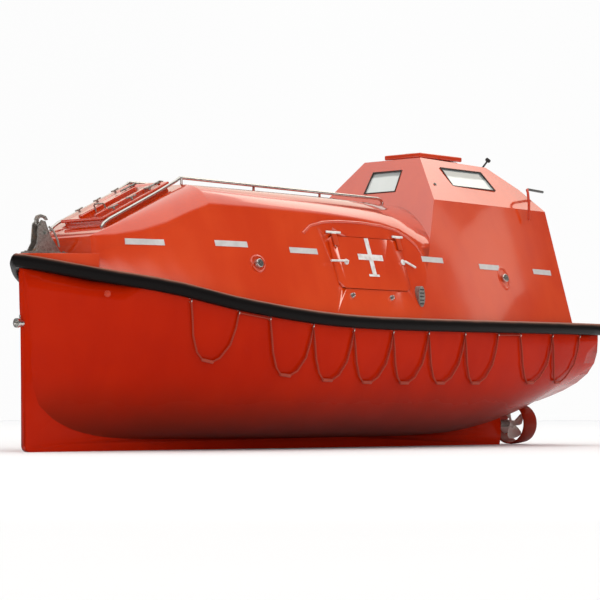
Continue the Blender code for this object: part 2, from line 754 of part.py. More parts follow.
def build_tower():
    tower = loft("tower", tower_rings(0.0), "orange_laminate", smooth=False)
    boolean(tower, loft("cut_tower_inside", tower_rings(CANOPY_WALL, base_drop=0.2), smooth=False))
    passage = canopy_solid("cut_tower_passage", inset=0.11, first=CANOPY_FIRST_X - 0.1)
    boolean(tower, lower_open(passage, 0.2))
    for name, frame, corners in WINDOWS:
        boolean(tower, plate("cut_" + name, corners, 0.2, frame @ Matrix.Translation((0, 0, -0.02))))
        plate(name, shrunk(corners, 0.002), 0.018, frame @ Matrix.Translation((0, 0, -0.019)), "window_glass")
    x, half_x, half_y = ROOF_HATCH_X, ROOF_HATCH_HALF_X + GAP, ROOF_HATCH_HALF_Y + GAP
    low, high = ROOF_HATCH_LOW - 0.05, ROOF_HATCH_HIGH + 0.1
    boolean(tower, box("cut_roof_hatchway", (x - half_x, -half_y, low), (x + half_x, half_y, high)))
    half, low, high = STERN_HATCH_HALF + DOOR_GAP, STERN_HATCH_LOW - DOOR_GAP, STERN_HATCH_HIGH + DOOR_GAP
    sides = ((TOWER_AFT_X - 0.1, -half, low), (TOWER_AFT_X + 0.1, half, high))
    boolean(tower, box("cut_stern_hatchway", *sides))


# Roof hatch over the helm: a low coaming and a flat slab of a lid

ROOF_HATCH_X = -1.985
ROOF_HATCH_HALF_X = 0.315
ROOF_HATCH_HALF_Y = 0.215
ROOF_HATCH_LOW = 2.93
ROOF_HATCH_HIGH = 3.04
ROOF_COAMING_WALL = 0.03
ROOF_LID_OVERHANG = 0.035
ROOF_LID_THICKNESS = 0.052


def build_roof_hatch():
    x, half_x, half_y = ROOF_HATCH_X, ROOF_HATCH_HALF_X, ROOF_HATCH_HALF_Y
    corners = ((x - half_x, -half_y, ROOF_HATCH_LOW), (x + half_x, half_y, ROOF_HATCH_HIGH))
    coaming = box("roof_hatch_coaming", *corners, "orange_laminate")
    inner_x, inner_y = half_x - ROOF_COAMING_WALL, half_y - ROOF_COAMING_WALL
    corners = ((x - inner_x, -inner_y, ROOF_HATCH_LOW - 0.1), (x + inner_x, inner_y, ROOF_HATCH_HIGH + 0.1))
    boolean(coaming, box("cut_roof_coaming", *corners))
    low = ROOF_HATCH_HIGH + LID_CLEARANCE
    high = low + ROOF_LID_THICKNESS
    half_x += ROOF_LID_OVERHANG
    half_y += ROOF_LID_OVERHANG
    lid = box("roof_hatch_lid", (x - half_x, -half_y, low), (x + half_x, half_y, high), "orange_laminate")
    bevel(lid, 0.012)
    hang("roof_hatch_pivot", (x - half_x - 0.02, 0, high), (0, -1, 0), lid)


# Stern hatch: a square door in the tower's flat back, above the aft hook

STERN_HATCH_HALF = 0.28
STERN_HATCH_LOW = 1.80
STERN_HATCH_HIGH = 2.36
STERN_HATCH_PROUD = 0.015


def build_stern_hatch():
    door = box("stern_hatch_door", (TOWER_AFT_X - STERN_HATCH_PROUD, -STERN_HATCH_HALF, STERN_HATCH_LOW),
               (TOWER_AFT_X + CANOPY_WALL - 0.01, STERN_HATCH_HALF, STERN_HATCH_HIGH), "orange_laminate")
    bevel(door, 0.01, 1)
    hinge = (TOWER_AFT_X - STERN_HATCH_PROUD - 0.015, STERN_HATCH_HALF + 0.01, 2.08)
    hang("stern_hatch_pivot", hinge, (0, 0, -1), door)


# Decks at the ends, between the gunwales

def deck(name, xs, high):
    rings = []
    for x in xs:
        y = gunwale_width(x, FENDER_DEPTH + 2 * GAP)
        low = hull_top(x) + GAP
        rings.append([(x, y, low), (x, -y, low), (x, -y, high), (x, y, high)])
    return loft(name, rings, "orange_laminate", smooth=False)


def build_decks():
    deck("foredeck", stations_between(CANOPY_NOSE[-1][0] + 3 * GAP, 3.655), FOREDECK_HEIGHT)
    deck("aft_deck", stations_between(STERN_X + 0.004, TOWER_AFT_X - GAP), AFT_DECK_HEIGHT)


# Grab rails along the roof and down beside the bow hatch

RAIL_Y = 0.35
RAIL_RADIUS = 0.016
# The rail's course: x, height above the roof
RAIL_COURSE = (
    (2.985, -0.03), (2.99, 0.012), (2.965, 0.03), (2.90, 0.042), (2.30, 0.045), (2.05, 0.055), (2.0, 0.063),
    (1.93, 0.066), (0.5, 0.058), (-0.83, 0.050), (-0.885, 0.040), (-0.905, 0.015), (-0.905, -0.03),
)
RAIL_POSTS = (1.98, 1.0, 0.05)


def build_rail(side, hand):
    points = [(x, side * RAIL_Y, roof_height(x) + above) for x, above in RAIL_COURSE]
    rail = as_mesh(tube("rail_" + hand, points, RAIL_RADIUS, "stainless_steel"))
    for index, x in enumerate(RAIL_POSTS):
        top = roof_height(x) + 0.055
        ends = ((x, side * RAIL_Y, top - 0.1), (x, side * RAIL_Y, top))
        join(rail, cylinder(f"rail_post_{hand}_{index}", *ends, 0.012, sides=8))
    boolean(rail, canopy_solid("cut_rail_seat_" + hand, inset=-0.0015))


# Release hooks: two cheeks on a base, with a hook hung between them

HOOK_PIN_HEIGHT = 0.19
# Outlines forward of the pin and above the deck, or above the pin for the hook
CHEEK_OUTLINE = (
    (-0.19, 0.02), (0.15, 0.02), (0.10, 0.10), (0.085, 0.27), (0.05, 0.31), (0.0, 0.30), (-0.06, 0.17),
)
HOOK_OUTLINE = (
    (-0.045, -0.03), (0.04, -0.035), (0.06, 0.01), (0.045, 0.055), (0.08, 0.085), (0.09, 0.125), (0.07, 0.16),
    (0.025, 0.176), (-0.035, 0.162), (-0.06, 0.128), (-0.04, 0.122), (-0.015, 0.142), (0.022, 0.146), (0.048, 0.13),
    (0.052, 0.106), (0.022, 0.084), (-0.025, 0.065), (-0.05, 0.03),
)


def build_hook(name, x, deck_height, facing):
    """A fall hook on its bracket. facing is 1 where its mouth looks forward and -1 where it looks aft."""
    z = deck_height + GAP
    back, front = sorted((x - facing * 0.22, x + facing * 0.17))
    base = box("hook_bracket_" + name, (back, -0.10, z), (front, 0.10, z + 0.022), "galvanized_steel")
    cheek = [(x + facing * along, z + up) for along, up in CHEEK_OUTLINE]
    for hand, y in (("starboard", -0.041), ("port", 0.041)):
        join(base, plate(f"hook_cheek_{name}_{hand}", cheek, 0.012, side_on(y)))
    pin = z + HOOK_PIN_HEIGHT
    outline = [(x + facing * along, pin + up) for along, up in HOOK_OUTLINE]
    hook = plate("hook_" + name, outline, 0.028, side_on(0), "galvanized_steel")
    hang(f"hook_{name}_pivot", (x, 0, pin), (0, facing, 0), hook)


# Propeller, stern tube and steering nozzle

HUB_FRONT = 0.07
# Blade sections from root to tip: radius, chord, pitch angle
BLADE = (
    (0.02, 0.07, 55), (0.07, 0.12, 42), (0.12, 0.155, 32), (0.152, 0.14, 26), (PROPELLER_RADIUS - 0.004, 0.07, 24),
)
NOZZLE_STOCK_RADIUS = 0.026
NOZZLE_STOCK_TOP = 0.72
# The ring's foil from its leading edge round its outside: distance aft, distance out from the throat
NOZZLE_FOIL = (
    (0.0, 0.012), (0.012, 0.024), (0.05, 0.028), (0.14, 0.022), (0.25, 0.008), (0.25, 0.002), (0.15, 0.0),
    (0.08, 0.0), (0.02, 0.004),
)


def blade_rings(turn):
    rings = []
    for radius, chord, pitch in BLADE:
        around = Matrix.Rotation(turn, 4, "X")
        twist = Matrix.Rotation(math.radians(90 - pitch), 4, "Z")
        thick = 0.016 * (1 - radius / 0.25)
        outline = ((-0.5, 0.0), (-0.2, 1.0), (0.2, 1.0), (0.5, 0.0), (0.2, -0.3), (-0.2, -0.3))
        flat = [Vector((along * chord, across * thick, 0)) for along, across in outline]
        rings.append([around @ (twist @ point + Vector((0, 0, radius))) for point in flat])
    return rings


def build_propeller():
    at = Vector((PROPELLER_X, 0, SHAFT_HEIGHT))
    front, back = at + Vector((HUB_FRONT, 0, 0)), at - Vector((0.075, 0, 0))
    hub = cylinder("propeller", front, back, 0.045, "bronze", 20, end_radius=0.030)
    for index in range(4):
        rings = [[at + point for point in ring] for ring in blade_rings(math.radians(90 * index + 20))]
        join(hub, loft(f"propeller_blade_{index}", rings, smooth=False))
    hang("propeller_pivot", at, (1, 0, 0), hub)


def build_stern_tube():
    start = Vector((SKEG_END_X - 0.025 - GAP, 0, SHAFT_HEIGHT))
    end = Vector((PROPELLER_X + HUB_FRONT + 0.006, 0, SHAFT_HEIGHT))
    cylinder("stern_tube", start, end, 0.040, "galvanized_steel", 20)


def build_nozzle():
    """A ring of foil section around the propeller, on a stock that turns in the hull."""
    bm = bmesh.new()
    profile = [bm.verts.new((-along, 0, NOZZLE_THROAT + out)) for along, out in NOZZLE_FOIL]
    for first, second in zip(profile, profile[1:] + profile[:1]):
        bm.edges.new((first, second))
    data = bpy.data.meshes.new("nozzle")
    bm.to_mesh(data)
    bm.free()
    nozzle = place("nozzle", data, "orange_laminate", Matrix.Translation((NOZZLE_FRONT_X, 0, SHAFT_HEIGHT)))
    turned = nozzle.modifiers.new("turned", "SCREW")
    turned.axis = "X"
    turned.steps = turned.render_steps = 40
    turned.use_merge_vertices = True
    turned.merge_threshold = 0.00001
    turned.use_normal_calculate = True
    top = SHAFT_HEIGHT + NOZZLE_THROAT
    stock = ((PROPELLER_X, 0, top + 0.008), (PROPELLER_X, 0, NOZZLE_STOCK_TOP))
    join(nozzle, cylinder("nozzle_stock", *stock, NOZZLE_STOCK_RADIUS, sides=16))
    hang("nozzle_pivot", (PROPELLER_X, 0, SHAFT_HEIGHT), (0, 0, 1), nozzle)


# Small fittings on the outside

def build_painter_release():
    """Round fitting that sticks out of the stem."""
    z = 1.16
    body = cylinder("painter_release", (3.634, 0, z), (3.69, 0, z), 0.036, "stainless_steel", 16)
    join(body, cylinder("painter_collar", (3.68, 0, z), (3.705, 0, z), 0.044, sides=16))


def tower_y(x, z):
    """Half width of the tower's lower side at a height."""
    share = (CREASE_FRONT_X - x) / (CREASE_FRONT_X - TOWER_AFT_X)
    low_y = gunwale_width(x, FENDER_DEPTH + 2 * GAP) - FLANGE_WIDTH
    low_z = hull_top(x) + FLANGE_HEIGHT
    return mix(low_y, crease_half_width(share), (z - low_z) / (CREASE_HEIGHT - low_z))


def build_valves():
    """Breather valves: a domed plug in a raised ring, two on each side."""
    for side, hand in ((1, "port"), (-1, "starboard")):
        for end, x, z in (("fore", 1.573, 1.747), ("aft", -2.08, 1.752)):
            on_canopy = end == "fore"
            y = canopy_y(x, z) if on_canopy else tower_y(x, z)
            start, tip = (x, side * (y - 0.03), z - 0.010), (x, side * (y + 0.034), z + 0.010)
            name = f"valve_{hand}_{end}"
            plug = cylinder(name, start, tip, 0.055, "stainless_steel", 16, end_radius=0.042)
            if on_canopy:
                boolean(plug, canopy_solid("cut_seat_" + name, inset=-0.0015))
            else:
                boolean(plug, loft("cut_seat_" + name, tower_rings(-0.003), smooth=False))


def build_air_vents():
    """Oval cowl beside each door that feeds the engine with air."""
    x, z = -0.536, 1.505
    for side, hand in ((1, "port"), (-1, "starboard")):
        y = side * (canopy_y(x, z) - 0.02)
        vent = plate("air_vent_" + hand, oval(x, z, 0.05, 0.105), 0.12, side_on(y), "stainless_steel")
        boolean(vent, canopy_solid("cut_vent_seat_" + hand, inset=-0.0015))
        boolean(vent, loft("cut_vent_tower_" + hand, tower_rings(-0.003), smooth=False))


def build_mast_fittings():
    """Lamp on the roof's after corner, and the spray pipe that comes over the tower's quarter."""
    foot, head = Vector((-2.525, 0.366, 2.98)), Vector((-2.65, 0.355, 3.08))
    lamp = cylinder("lamp_post", foot, head, 0.010, "galvanized_steel", 10)
    ends = (head - Vector((0.022, 0, 0.006)), head + Vector((0.022, 0, 0.012)))
    join(lamp, cylinder("lamp_head", *ends, 0.02, sides=12))
    boolean(lamp, loft("cut_lamp_seat", tower_rings(-0.003), smooth=False))
    course = ((-2.79, 0.80, 2.42), (-2.83, 0.772, 2.60), (-2.86, 0.735, 2.72), (-2.885, 0.705, 2.755),
              (-2.93, 0.68, 2.765), (-3.30, 0.60, 2.765))
    pipe = as_mesh(tube("spray_pipe", course, 0.014, "galvanized_steel"))
    boolean(pipe, loft("cut_pipe_seat", tower_rings(-0.003), smooth=False))


# What shows inside through the doors and windows

def build_inside():
    for side, hand in ((1, "port"), (-1, "starboard")):
        low, high = sorted((side * 0.50, side * 1.4))
        bench = box("bench_" + hand, (-1.30, low, 0.3), (1.60, high, 0.88), "inside_liner")
        boolean(bench, cabin_well("bench_space_" + hand, 0.004), "INTERSECT")
    box("engine", (-2.395, -0.30, SOLE_HEIGHT + 2 * GAP), (-1.60, 0.30, 1.08), "engine_paint")
    seat = box("helm_seat", (-2.55, -0.22, 1.98), (-2.15, 0.22, 2.06), "inside_liner")
    join(seat, cylinder("helm_pedestal", (-2.35, 0, 1.08 + GAP), (-2.35, 0, 2.0), 0.06, sides=16))
    join(seat, box("helm_backrest", (-2.62, -0.20, 2.0), (-2.54, 0.20, 2.42)))


# Lifelines: one becketed rope along each side, hung in bights under the fender

ROPE_RADIUS = 0.009
FLOAT_SHARE = 1.7
BIGHT_DEPTH = 0.49
# Fore and aft end of each bight along the gunwale
BIGHTS = (
    (2.40, 1.935), (1.60, 1.095), (1.095, 0.57), (0.57, 0.015), (0.015, -0.52), (-0.52, -1.10),
    (-1.10, -1.67), (-2.075, -2.705), (-2.705, -3.29),
)
# Shape of a bight: share of its length, share of its depth
BIGHT_COURSE = (
    (0.0, 0.0), (0.05, 0.30), (0.12, 0.62), (0.26, 0.89), (0.40, 1.0), (0.60, 1.0), (0.74, 0.89), (0.88, 0.62),
    (0.95, 0.30),
)


def lifeline_point(x, drop, side):
    """A point of the rope just clear of the hull, a distance under the fender's lower edge."""
    z = sheer(x) - FENDER_HEIGHT / 2 - 0.022 - drop
    y = max(hull_half_breadth(x, z), hull_half_breadth(x, z - 0.02), hull_half_breadth(x, z + 0.02))
    return x, side * (y + ROPE_RADIUS + 0.012), z


def build_lifeline(side, hand):
    points, radii = [], []
    for index, (fore, aft) in enumerate(BIGHTS):
        for share, drop in BIGHT_COURSE:
            points.append(lifeline_point(mix(fore, aft, share), drop * BIGHT_DEPTH, side))
            radii.append(FLOAT_SHARE if drop == 1.0 else 1.0)
        if index + 1 == len(BIGHTS) or BIGHTS[index + 1][0] != aft:
            points.append(lifeline_point(aft, 0.0, side))
            radii.append(1.0)
    tube("lifeline_" + hand, points, ROPE_RADIUS, "rope", radii)


# Assembly

clear_scene()
BOAT = collection("lifeboat")
CUTTERS = collection("cutters", hidden=True)
KEEL_LINE = keel_line()

build_hull()
build_fender()
build_canopy()
build_tower()
build_decks()
build_bow_hatch()
build_roof_hatch()
build_stern_hatch()
build_painter_release()
build_valves()
build_air_vents()
build_mast_fittings()
build_inside()
build_propeller()
build_stern_tube()
build_nozzle()
build_hook("fore", 3.40, FOREDECK_HEIGHT, 1)
build_hook("aft", -3.50, AFT_DECK_HEIGHT, -1)
for hand_side, hand_name in ((1, "port"), (-1, "starboard")):
    build_side_door(hand_side, hand_name)
    build_rail(hand_side, hand_name)
    build_lifeline(hand_side, hand_name)
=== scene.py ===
import json
import math

import bpy
from mathutils import Matrix, Vector
from mathutils.bvhtree import BVHTree

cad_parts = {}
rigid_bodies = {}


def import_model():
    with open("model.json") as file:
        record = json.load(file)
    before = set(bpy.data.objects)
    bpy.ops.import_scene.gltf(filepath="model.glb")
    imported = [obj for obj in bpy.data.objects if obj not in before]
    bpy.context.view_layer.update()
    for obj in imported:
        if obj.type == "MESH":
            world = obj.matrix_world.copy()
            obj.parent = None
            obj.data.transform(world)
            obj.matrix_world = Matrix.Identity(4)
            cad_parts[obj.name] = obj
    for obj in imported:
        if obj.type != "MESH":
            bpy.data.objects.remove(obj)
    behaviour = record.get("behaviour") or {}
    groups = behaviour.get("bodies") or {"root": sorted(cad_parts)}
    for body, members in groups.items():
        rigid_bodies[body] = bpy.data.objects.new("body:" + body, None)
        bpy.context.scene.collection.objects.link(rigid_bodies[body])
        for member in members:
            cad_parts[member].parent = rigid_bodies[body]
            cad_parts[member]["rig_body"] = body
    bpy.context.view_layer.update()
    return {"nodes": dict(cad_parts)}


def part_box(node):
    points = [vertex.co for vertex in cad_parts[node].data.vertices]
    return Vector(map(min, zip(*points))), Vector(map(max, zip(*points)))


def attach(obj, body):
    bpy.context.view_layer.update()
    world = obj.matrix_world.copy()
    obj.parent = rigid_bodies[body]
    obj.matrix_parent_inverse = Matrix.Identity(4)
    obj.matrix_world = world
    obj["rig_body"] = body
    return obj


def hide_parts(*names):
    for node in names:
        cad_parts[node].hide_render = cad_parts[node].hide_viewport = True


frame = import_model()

# Heights are measured from the plane that the boat floats at, so its keel stands at KEEL
KEEL = -0.60


# Camera. A long lens off the port bow, 0.37 m over the keel's foot and tilted up a little, so the turn of the
# bilge is seen from the side and the fender from below.
YAW = math.radians(47.12)
PITCH = math.radians(2.62)
LENS = 145.05
CAMERA_AT = (17.8574, 16.6199, KEEL + 0.3741)
photographer = bpy.data.objects.new("camera", bpy.data.cameras.new("camera"))
bpy.context.scene.collection.objects.link(photographer)
bpy.context.scene.camera = photographer
photographer.data.lens = LENS
photographer.data.clip_end = 200
photographer.location = CAMERA_AT
looking = Vector((-math.sin(YAW) * math.cos(PITCH), -math.cos(YAW) * math.cos(PITCH), math.sin(PITCH)))
photographer.rotation_euler = looking.to_track_quat("-Z", "Y").to_euler()


# Lifelines. One orange rope along each side, held to the gunwale by clips and hanging between them in bights
# with a sleeve float at the bottom of each, for people in the water to hold.
ROPE_RADIUS = 0.009
ROPE_OFF_HULL = 0.012
BIGHT_DEPTH = 0.49
FENDER_HALF_HEIGHT = 0.062
CLIP_UNDER_FENDER = 0.022
CLIP_RADIUS = 0.020
CLIP_WIRE = 0.005
FLOAT_RADIUS = 0.0155
FLOAT_LENGTH = 0.125
# Height of the fender's middle over the keel at stations from stern to bow: x, height
SHEER = ((-3.75, 1.26), (-0.3, 1.22), (0.9, 1.241), (1.9, 1.352), (2.6, 1.50), (3.2, 1.602), (3.75, 1.735))
# Fore and aft end of each bight
BIGHTS = (
    (2.40, 1.935), (1.60, 1.095), (1.095, 0.57), (0.57, 0.015), (0.015, -0.52), (-0.52, -1.10),
    (-1.10, -1.67), (-2.075, -2.705), (-2.705, -3.29),
)
# Shape of a bight: share of its length, share of its depth
BIGHT_COURSE = (
    (0.0, 0.0), (0.05, 0.30), (0.12, 0.62), (0.26, 0.89), (0.40, 1.0),
    (0.60, 1.0), (0.74, 0.89), (0.88, 0.62), (0.95, 0.30),
)


class Socket:
    """An output of a shader node. Arithmetic on it adds Math nodes."""

    def __init__(self, paint, output):
        self.paint = paint
        self.output = output

    def maths(self, operation, first, second):
        return self.paint.node("Math", {"operation": operation}, {0: first, 1: second})

    def __add__(self, other):
        return self.maths("ADD", self, other)

    __radd__ = __add__

    def __mul__(self, other):
        return self.maths("MULTIPLY", self, other)

    __rmul__ = __mul__

    def __sub__(self, other):
        return self.maths("SUBTRACT", self, other)

    def __rsub__(self, other):
        return self.maths("SUBTRACT", other, self)


class Paint:
    """A material under way. Every shader node in it comes from its node method."""

    def __init__(self, name):
        self.material = bpy.data.materials.new(name)
        self.material.use_nodes = True
        self.tree = self.material.node_tree
        self.tree.nodes.clear()
        self.place = self.node("TexCoord", output="Object")

    def node(self, kind, settings=None, sockets=None, output=0):
        """Adds a shader node: settings first, then the value or link of each socket named."""
        made = self.tree.nodes.new("ShaderNode" + kind)
        for name, value in (settings or {}).items():
            setattr(made, name, value)
        for name, value in (sockets or {}).items():
            if isinstance(value, Socket):
                self.tree.links.new(value.output, made.inputs[name])
            else:
                made.inputs[name].default_value = value
        return Socket(self, made.outputs[output])

    def noise(self, scale, detail=2.0, stretch=(1, 1, 1)):
        at = self.node("Mapping", sockets={"Vector": self.place, "Scale": stretch})
        return self.node("TexNoise", sockets={"Vector": at, "Scale": scale, "Detail": detail})

    def axis(self, name):
        return self.node("SeparateXYZ", sockets={0: self.place}, output=name)

    def facing(self, name):
        direction = self.node("NewGeometry", output="Normal")
        return self.node("SeparateXYZ", sockets={0: direction}, output=name)

    def between(self, value, low, high):
        """0 below low and 1 above high, with a soft change between."""
        limits = {0: value, 1: low, 2: high, 3: 0.0, 4: 1.0}
        return self.node("MapRange", {"interpolation_type": "SMOOTHSTEP"}, limits)

    def mix(self, share, first, second):
        """A colour between two."""
        return self.node("Mix", {"data_type": "RGBA"}, {0: share, 6: first, 7: second}, 2)

    def bump(self, height, distance, strength=1.0):
        return self.node("Bump", sockets={"Height": height, "Distance": distance, "Strength": strength})

    def finish(self, **sockets):
        """Ends the material with a Principled shader whose sockets are given by name."""
        named = {name.replace("_", " "): value for name, value in sockets.items()}
        shader = self.node("BsdfPrincipled", sockets=named)
        surface = self.tree.nodes.new("ShaderNodeOutputMaterial").inputs["Surface"]
        self.tree.links.new(shader.output, surface)
        return self.material


def skin_of(*nodes):
    """A search tree over the faces of CAD nodes, for what sits on them."""
    points, faces = [], []
    for node in nodes:
        mesh = frame["nodes"][node].data
        first = len(points)
        points += [vertex.co.copy() for vertex in mesh.vertices]
        faces += [[first + corner for corner in face.vertices] for face in mesh.polygons]
    return BVHTree.FromPolygons(points, faces)


def from_side(skin, x, z, side):
    """Where a line square to the centreline meets the boat's side, and the way the surface faces there."""
    point, normal, _, _ = skin.ray_cast(Vector((x, side * 3.0, z)), Vector((0, -side, 0)))
    return point, normal


def alone(piece):
    """Selects one object and nothing else."""
    if bpy.context.object and bpy.context.object.mode != "OBJECT":
        bpy.ops.object.mode_set(mode="OBJECT")
    bpy.ops.object.select_all(action="DESELECT")
    piece.select_set(True)
    bpy.context.view_layer.objects.active = piece


def settle(piece, name, paint, body, angle=35):
    """Ends a piece: place and modifiers applied, smooth but for its sharp edges, painted, on its body."""
    alone(piece)
    bpy.ops.object.transform_apply(location=True, rotation=True, scale=True)
    for modifier in list(piece.modifiers):
        bpy.ops.object.modifier_apply(modifier=modifier.name)
    bpy.ops.object.shade_smooth_by_angle(angle=math.radians(angle))
    piece.name = piece.data.name = name
    piece.data.materials.clear()
    piece.data.materials.append(paint)
    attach(piece, body)
    return piece


def round_edges(piece, width, segments=2, angle=30):
    """Adds a bevel to the edges that turn by more than an angle. It is applied with the piece."""
    edges = piece.modifiers.new("rounded", "BEVEL")
    edges.width = width
    edges.segments = segments
    edges.limit_method = "ANGLE"
    edges.angle_limit = math.radians(angle)


def rounded(piece, width, segments=2):
    """A piece with its edges rounded at once, for one that is copied or merged."""
    round_edges(piece, width, segments)
    alone(piece)
    bpy.ops.object.modifier_apply(modifier="rounded")
    return piece


def merged(pieces):
    """Joins pieces into the first, each with its own place applied."""
    bpy.ops.object.select_all(action="DESELECT")
    for piece in pieces:
        piece.select_set(True)
    bpy.context.view_layer.objects.active = pieces[0]
    bpy.ops.object.join()
    return pieces[0]


def copied(piece, frame_at):
    """A copy of a piece, with a mesh of its own, in another frame."""
    twin = piece.copy()
    twin.data = piece.data.copy()
    bpy.context.collection.objects.link(twin)
    twin.matrix_world = frame_at
    return twin


def sheer(x):
    """Height of the fender's middle over the keel, on a smooth curve through the stations."""
    row = 0
    while row < len(SHEER) - 2 and SHEER[row + 1][0] < x:
        row += 1
    (x0, z0), (x1, z1) = SHEER[row], SHEER[row + 1]
    before, after = SHEER[max(row - 1, 0)], SHEER[min(row + 2, len(SHEER) - 1)]
    t = min(1.0, max(0.0, (x - x0) / (x1 - x0)))
    leave = (z1 - before[1]) / (x1 - before[0]) * (x1 - x0)
    arrive = (after[1] - z0) / (after[0] - x0) * (x1 - x0)
    ends = z0 * (1 + 2 * t) * (1 - t) ** 2 + z1 * t * t * (3 - 2 * t)
    return ends + leave * t * (1 - t) ** 2 - arrive * t * t * (1 - t)


hull_skin = skin_of("hull")


def lifeline_point(x, drop, side):
    """A point of the rope just clear of the hull, a distance under the fender's lower edge."""
    z = KEEL + sheer(x) - FENDER_HALF_HEIGHT - CLIP_UNDER_FENDER - drop
    out = max(abs(from_side(hull_skin, x, z + step, side)[0].y) for step in (-0.02, 0.0, 0.02))
    return Vector((x, side * (out + ROPE_RADIUS + ROPE_OFF_HULL), z))


rope = Paint("lifeline_rope")
strands = {"Vector": rope.place, "Scale": 28.0, "Distortion": 1.0}
lay = rope.node("TexWave", {"bands_direction": "DIAGONAL"}, strands)
faded = rope.noise(9.0, 4.0)
ROPE_PAINT = rope.finish(
    Base_Color=rope.mix(faded * 0.6 + lay * 0.3, (0.24, 0.014, 0.005, 1), (0.38, 0.048, 0.022, 1)),
    Roughness=0.9,
    Normal=rope.bump(lay, 0.002, 0.6),
)
sleeve = Paint("float_foam")
scuffed = sleeve.noise(30.0, 4.0)
FLOAT_PAINT = sleeve.finish(
    Base_Color=sleeve.mix(scuffed, (0.22, 0.018, 0.008, 1), (0.40, 0.05, 0.02, 1)),
    Roughness=scuffed * 0.3 + 0.5,
    Normal=sleeve.bump(scuffed, 0.001, 0.4),
)
steel = Paint("stainless_steel")
brushed = steel.noise(60.0, 3.0, (1, 1, 6))
tarnish = steel.noise(5.0, 3.0)
STEEL_PAINT = steel.finish(
    Base_Color=steel.mix(tarnish, (0.55, 0.53, 0.50, 1), (0.80, 0.79, 0.76, 1)),
    Metallic=1.0,
    Roughness=brushed * 0.18 + 0.16,
    Normal=steel.bump(brushed, 0.0004, 0.4),
)

bpy.ops.object.select_all(action="DESELECT")
bpy.ops.mesh.primitive_torus_add(
    major_radius=CLIP_RADIUS, minor_radius=CLIP_WIRE, major_segments=20, minor_segments=8,
    rotation=(0, math.radians(90), 0))
clip = bpy.context.object
bpy.ops.object.transform_apply(rotation=True)
bpy.ops.mesh.primitive_cylinder_add(radius=FLOAT_RADIUS, depth=FLOAT_LENGTH, vertices=16)
sleeve_float = rounded(bpy.context.object, 0.007, 3)

for side, hand in ((1, "port"), (-1, "starboard")):
    route, floats, clips = [], [], []
    for index, (fore, aft) in enumerate(BIGHTS):
        for share, drop in BIGHT_COURSE:
            route.append(lifeline_point(fore + (aft - fore) * share, drop * BIGHT_DEPTH, side))
        first, second = route[-5], route[-4]
        along = (second - first).to_track_quat("Z", "Y").to_matrix().to_4x4()
        floats.append(copied(sleeve_float, Matrix.Translation((first + second) / 2) @ along))
        ends = [fore] + ([aft] if index + 1 == len(BIGHTS) or BIGHTS[index + 1][0] != aft else [])
        if len(ends) == 2:
            route.append(lifeline_point(aft, 0.0, side))
        for x in ends:
            held_at = lifeline_point(x, 0.0, side) + Vector((0, -side * ROPE_OFF_HULL, 0.004))
            clips.append(copied(clip, Matrix.Translation(held_at)))
    line = bpy.data.curves.new("rope_" + hand, "CURVE")
    line.dimensions = "3D"
    line.bevel_depth = ROPE_RADIUS
    line.bevel_resolution = 2
    line.use_fill_caps = True
    course = line.splines.new("POLY")
    course.points.add(len(route) - 1)
    for point, at in zip(course.points, route):
        point.co = (*at, 1)
    lifeline = bpy.data.objects.new("rope_" + hand, line)
    bpy.context.collection.objects.link(lifeline)
    line.materials.append(ROPE_PAINT)
    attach(lifeline, "boat")
    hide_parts("lifeline_" + hand)
    sleeves = settle(merged(floats), "rope_floats_" + hand, FLOAT_PAINT, "boat")
    settle(merged(clips), "rope_clips_" + hand, STEEL_PAINT, "boat")
bpy.data.objects.remove(clip)
bpy.data.objects.remove(sleeve_float)


# Studio. A pale floor under the keel and a round white wall far behind it, and a sky that is dim low down and
# bright above. Two large panels light the boat from port, and three off its stern show only in its gelcoat.
FLOOR_SIZE = 160
WALL_RADIUS = 70
WALL_HEIGHT = 44
WALL_SUNK = 0.1
# Height on the sky's sphere, from 0 at the bottom to 1 at the top
SKY_DIM_TO = 0.58
SKY_BRIGHT_FROM = 0.68
PANEL_WARMTH = (1.0, 0.89, 0.76)
# Each panel: name, place, length of side, watts, whether it is mirrored or else lights
PANELS = (
    ("bow_panel", (11.0, 9.0, 5.0), 5, 160, False),
    ("side_panel", (-1.0, 13.0, 3.5), 9, 120, False),
    ("quarter_panel", (-24.0, 1.0, 21.0), 17, 1500, True),
    ("low_panel", (-25.1, 11.5, 12.1), 2.4, 15, True),
    ("far_panel", (-18.4, -18.4, 15.0), 17, 900, True),
)

bpy.ops.mesh.primitive_plane_add(size=FLOOR_SIZE, location=(0, 0, KEEL))
floor = bpy.context.object
floor.name = "floor"
ground = Paint("studio_floor")
floor.data.materials.append(ground.finish(
    Base_Color=ground.mix(ground.noise(0.4, 2.0), (0.86, 0.875, 0.90, 1), (0.89, 0.905, 0.93, 1)),
    Roughness=0.9,
))
# The wall lights the boat but isn't mirrored in its gelcoat, which keeps its colour on the upright sides
bpy.ops.mesh.primitive_cylinder_add(
    vertices=96,
    radius=WALL_RADIUS,
    depth=WALL_HEIGHT,
    end_fill_type="NOTHING",
    location=(0, 0, KEEL + WALL_HEIGHT / 2 - WALL_SUNK),
)
backdrop = bpy.context.object
backdrop.name = "wall"
backdrop.visible_glossy = False
plaster = Paint("studio_wall")
backdrop.data.materials.append(plaster.finish(
    Base_Color=(0, 0, 0, 1),
    Specular_IOR_Level=0.0,
    Emission_Color=plaster.mix(plaster.noise(0.05, 2.0), (0.97, 0.97, 0.97, 1), (0.99, 0.99, 0.99, 1)),
    Emission_Strength=1.0,
))
room = bpy.data.worlds.new("room")
bpy.context.scene.world = room
room.use_nodes = True
outlook = room.node_tree.nodes.new("ShaderNodeTexCoord")
rise = room.node_tree.nodes.new("ShaderNodeSeparateXYZ")
room.node_tree.links.new(outlook.outputs["Generated"], rise.inputs[0])
level = room.node_tree.nodes.new("ShaderNodeValToRGB")
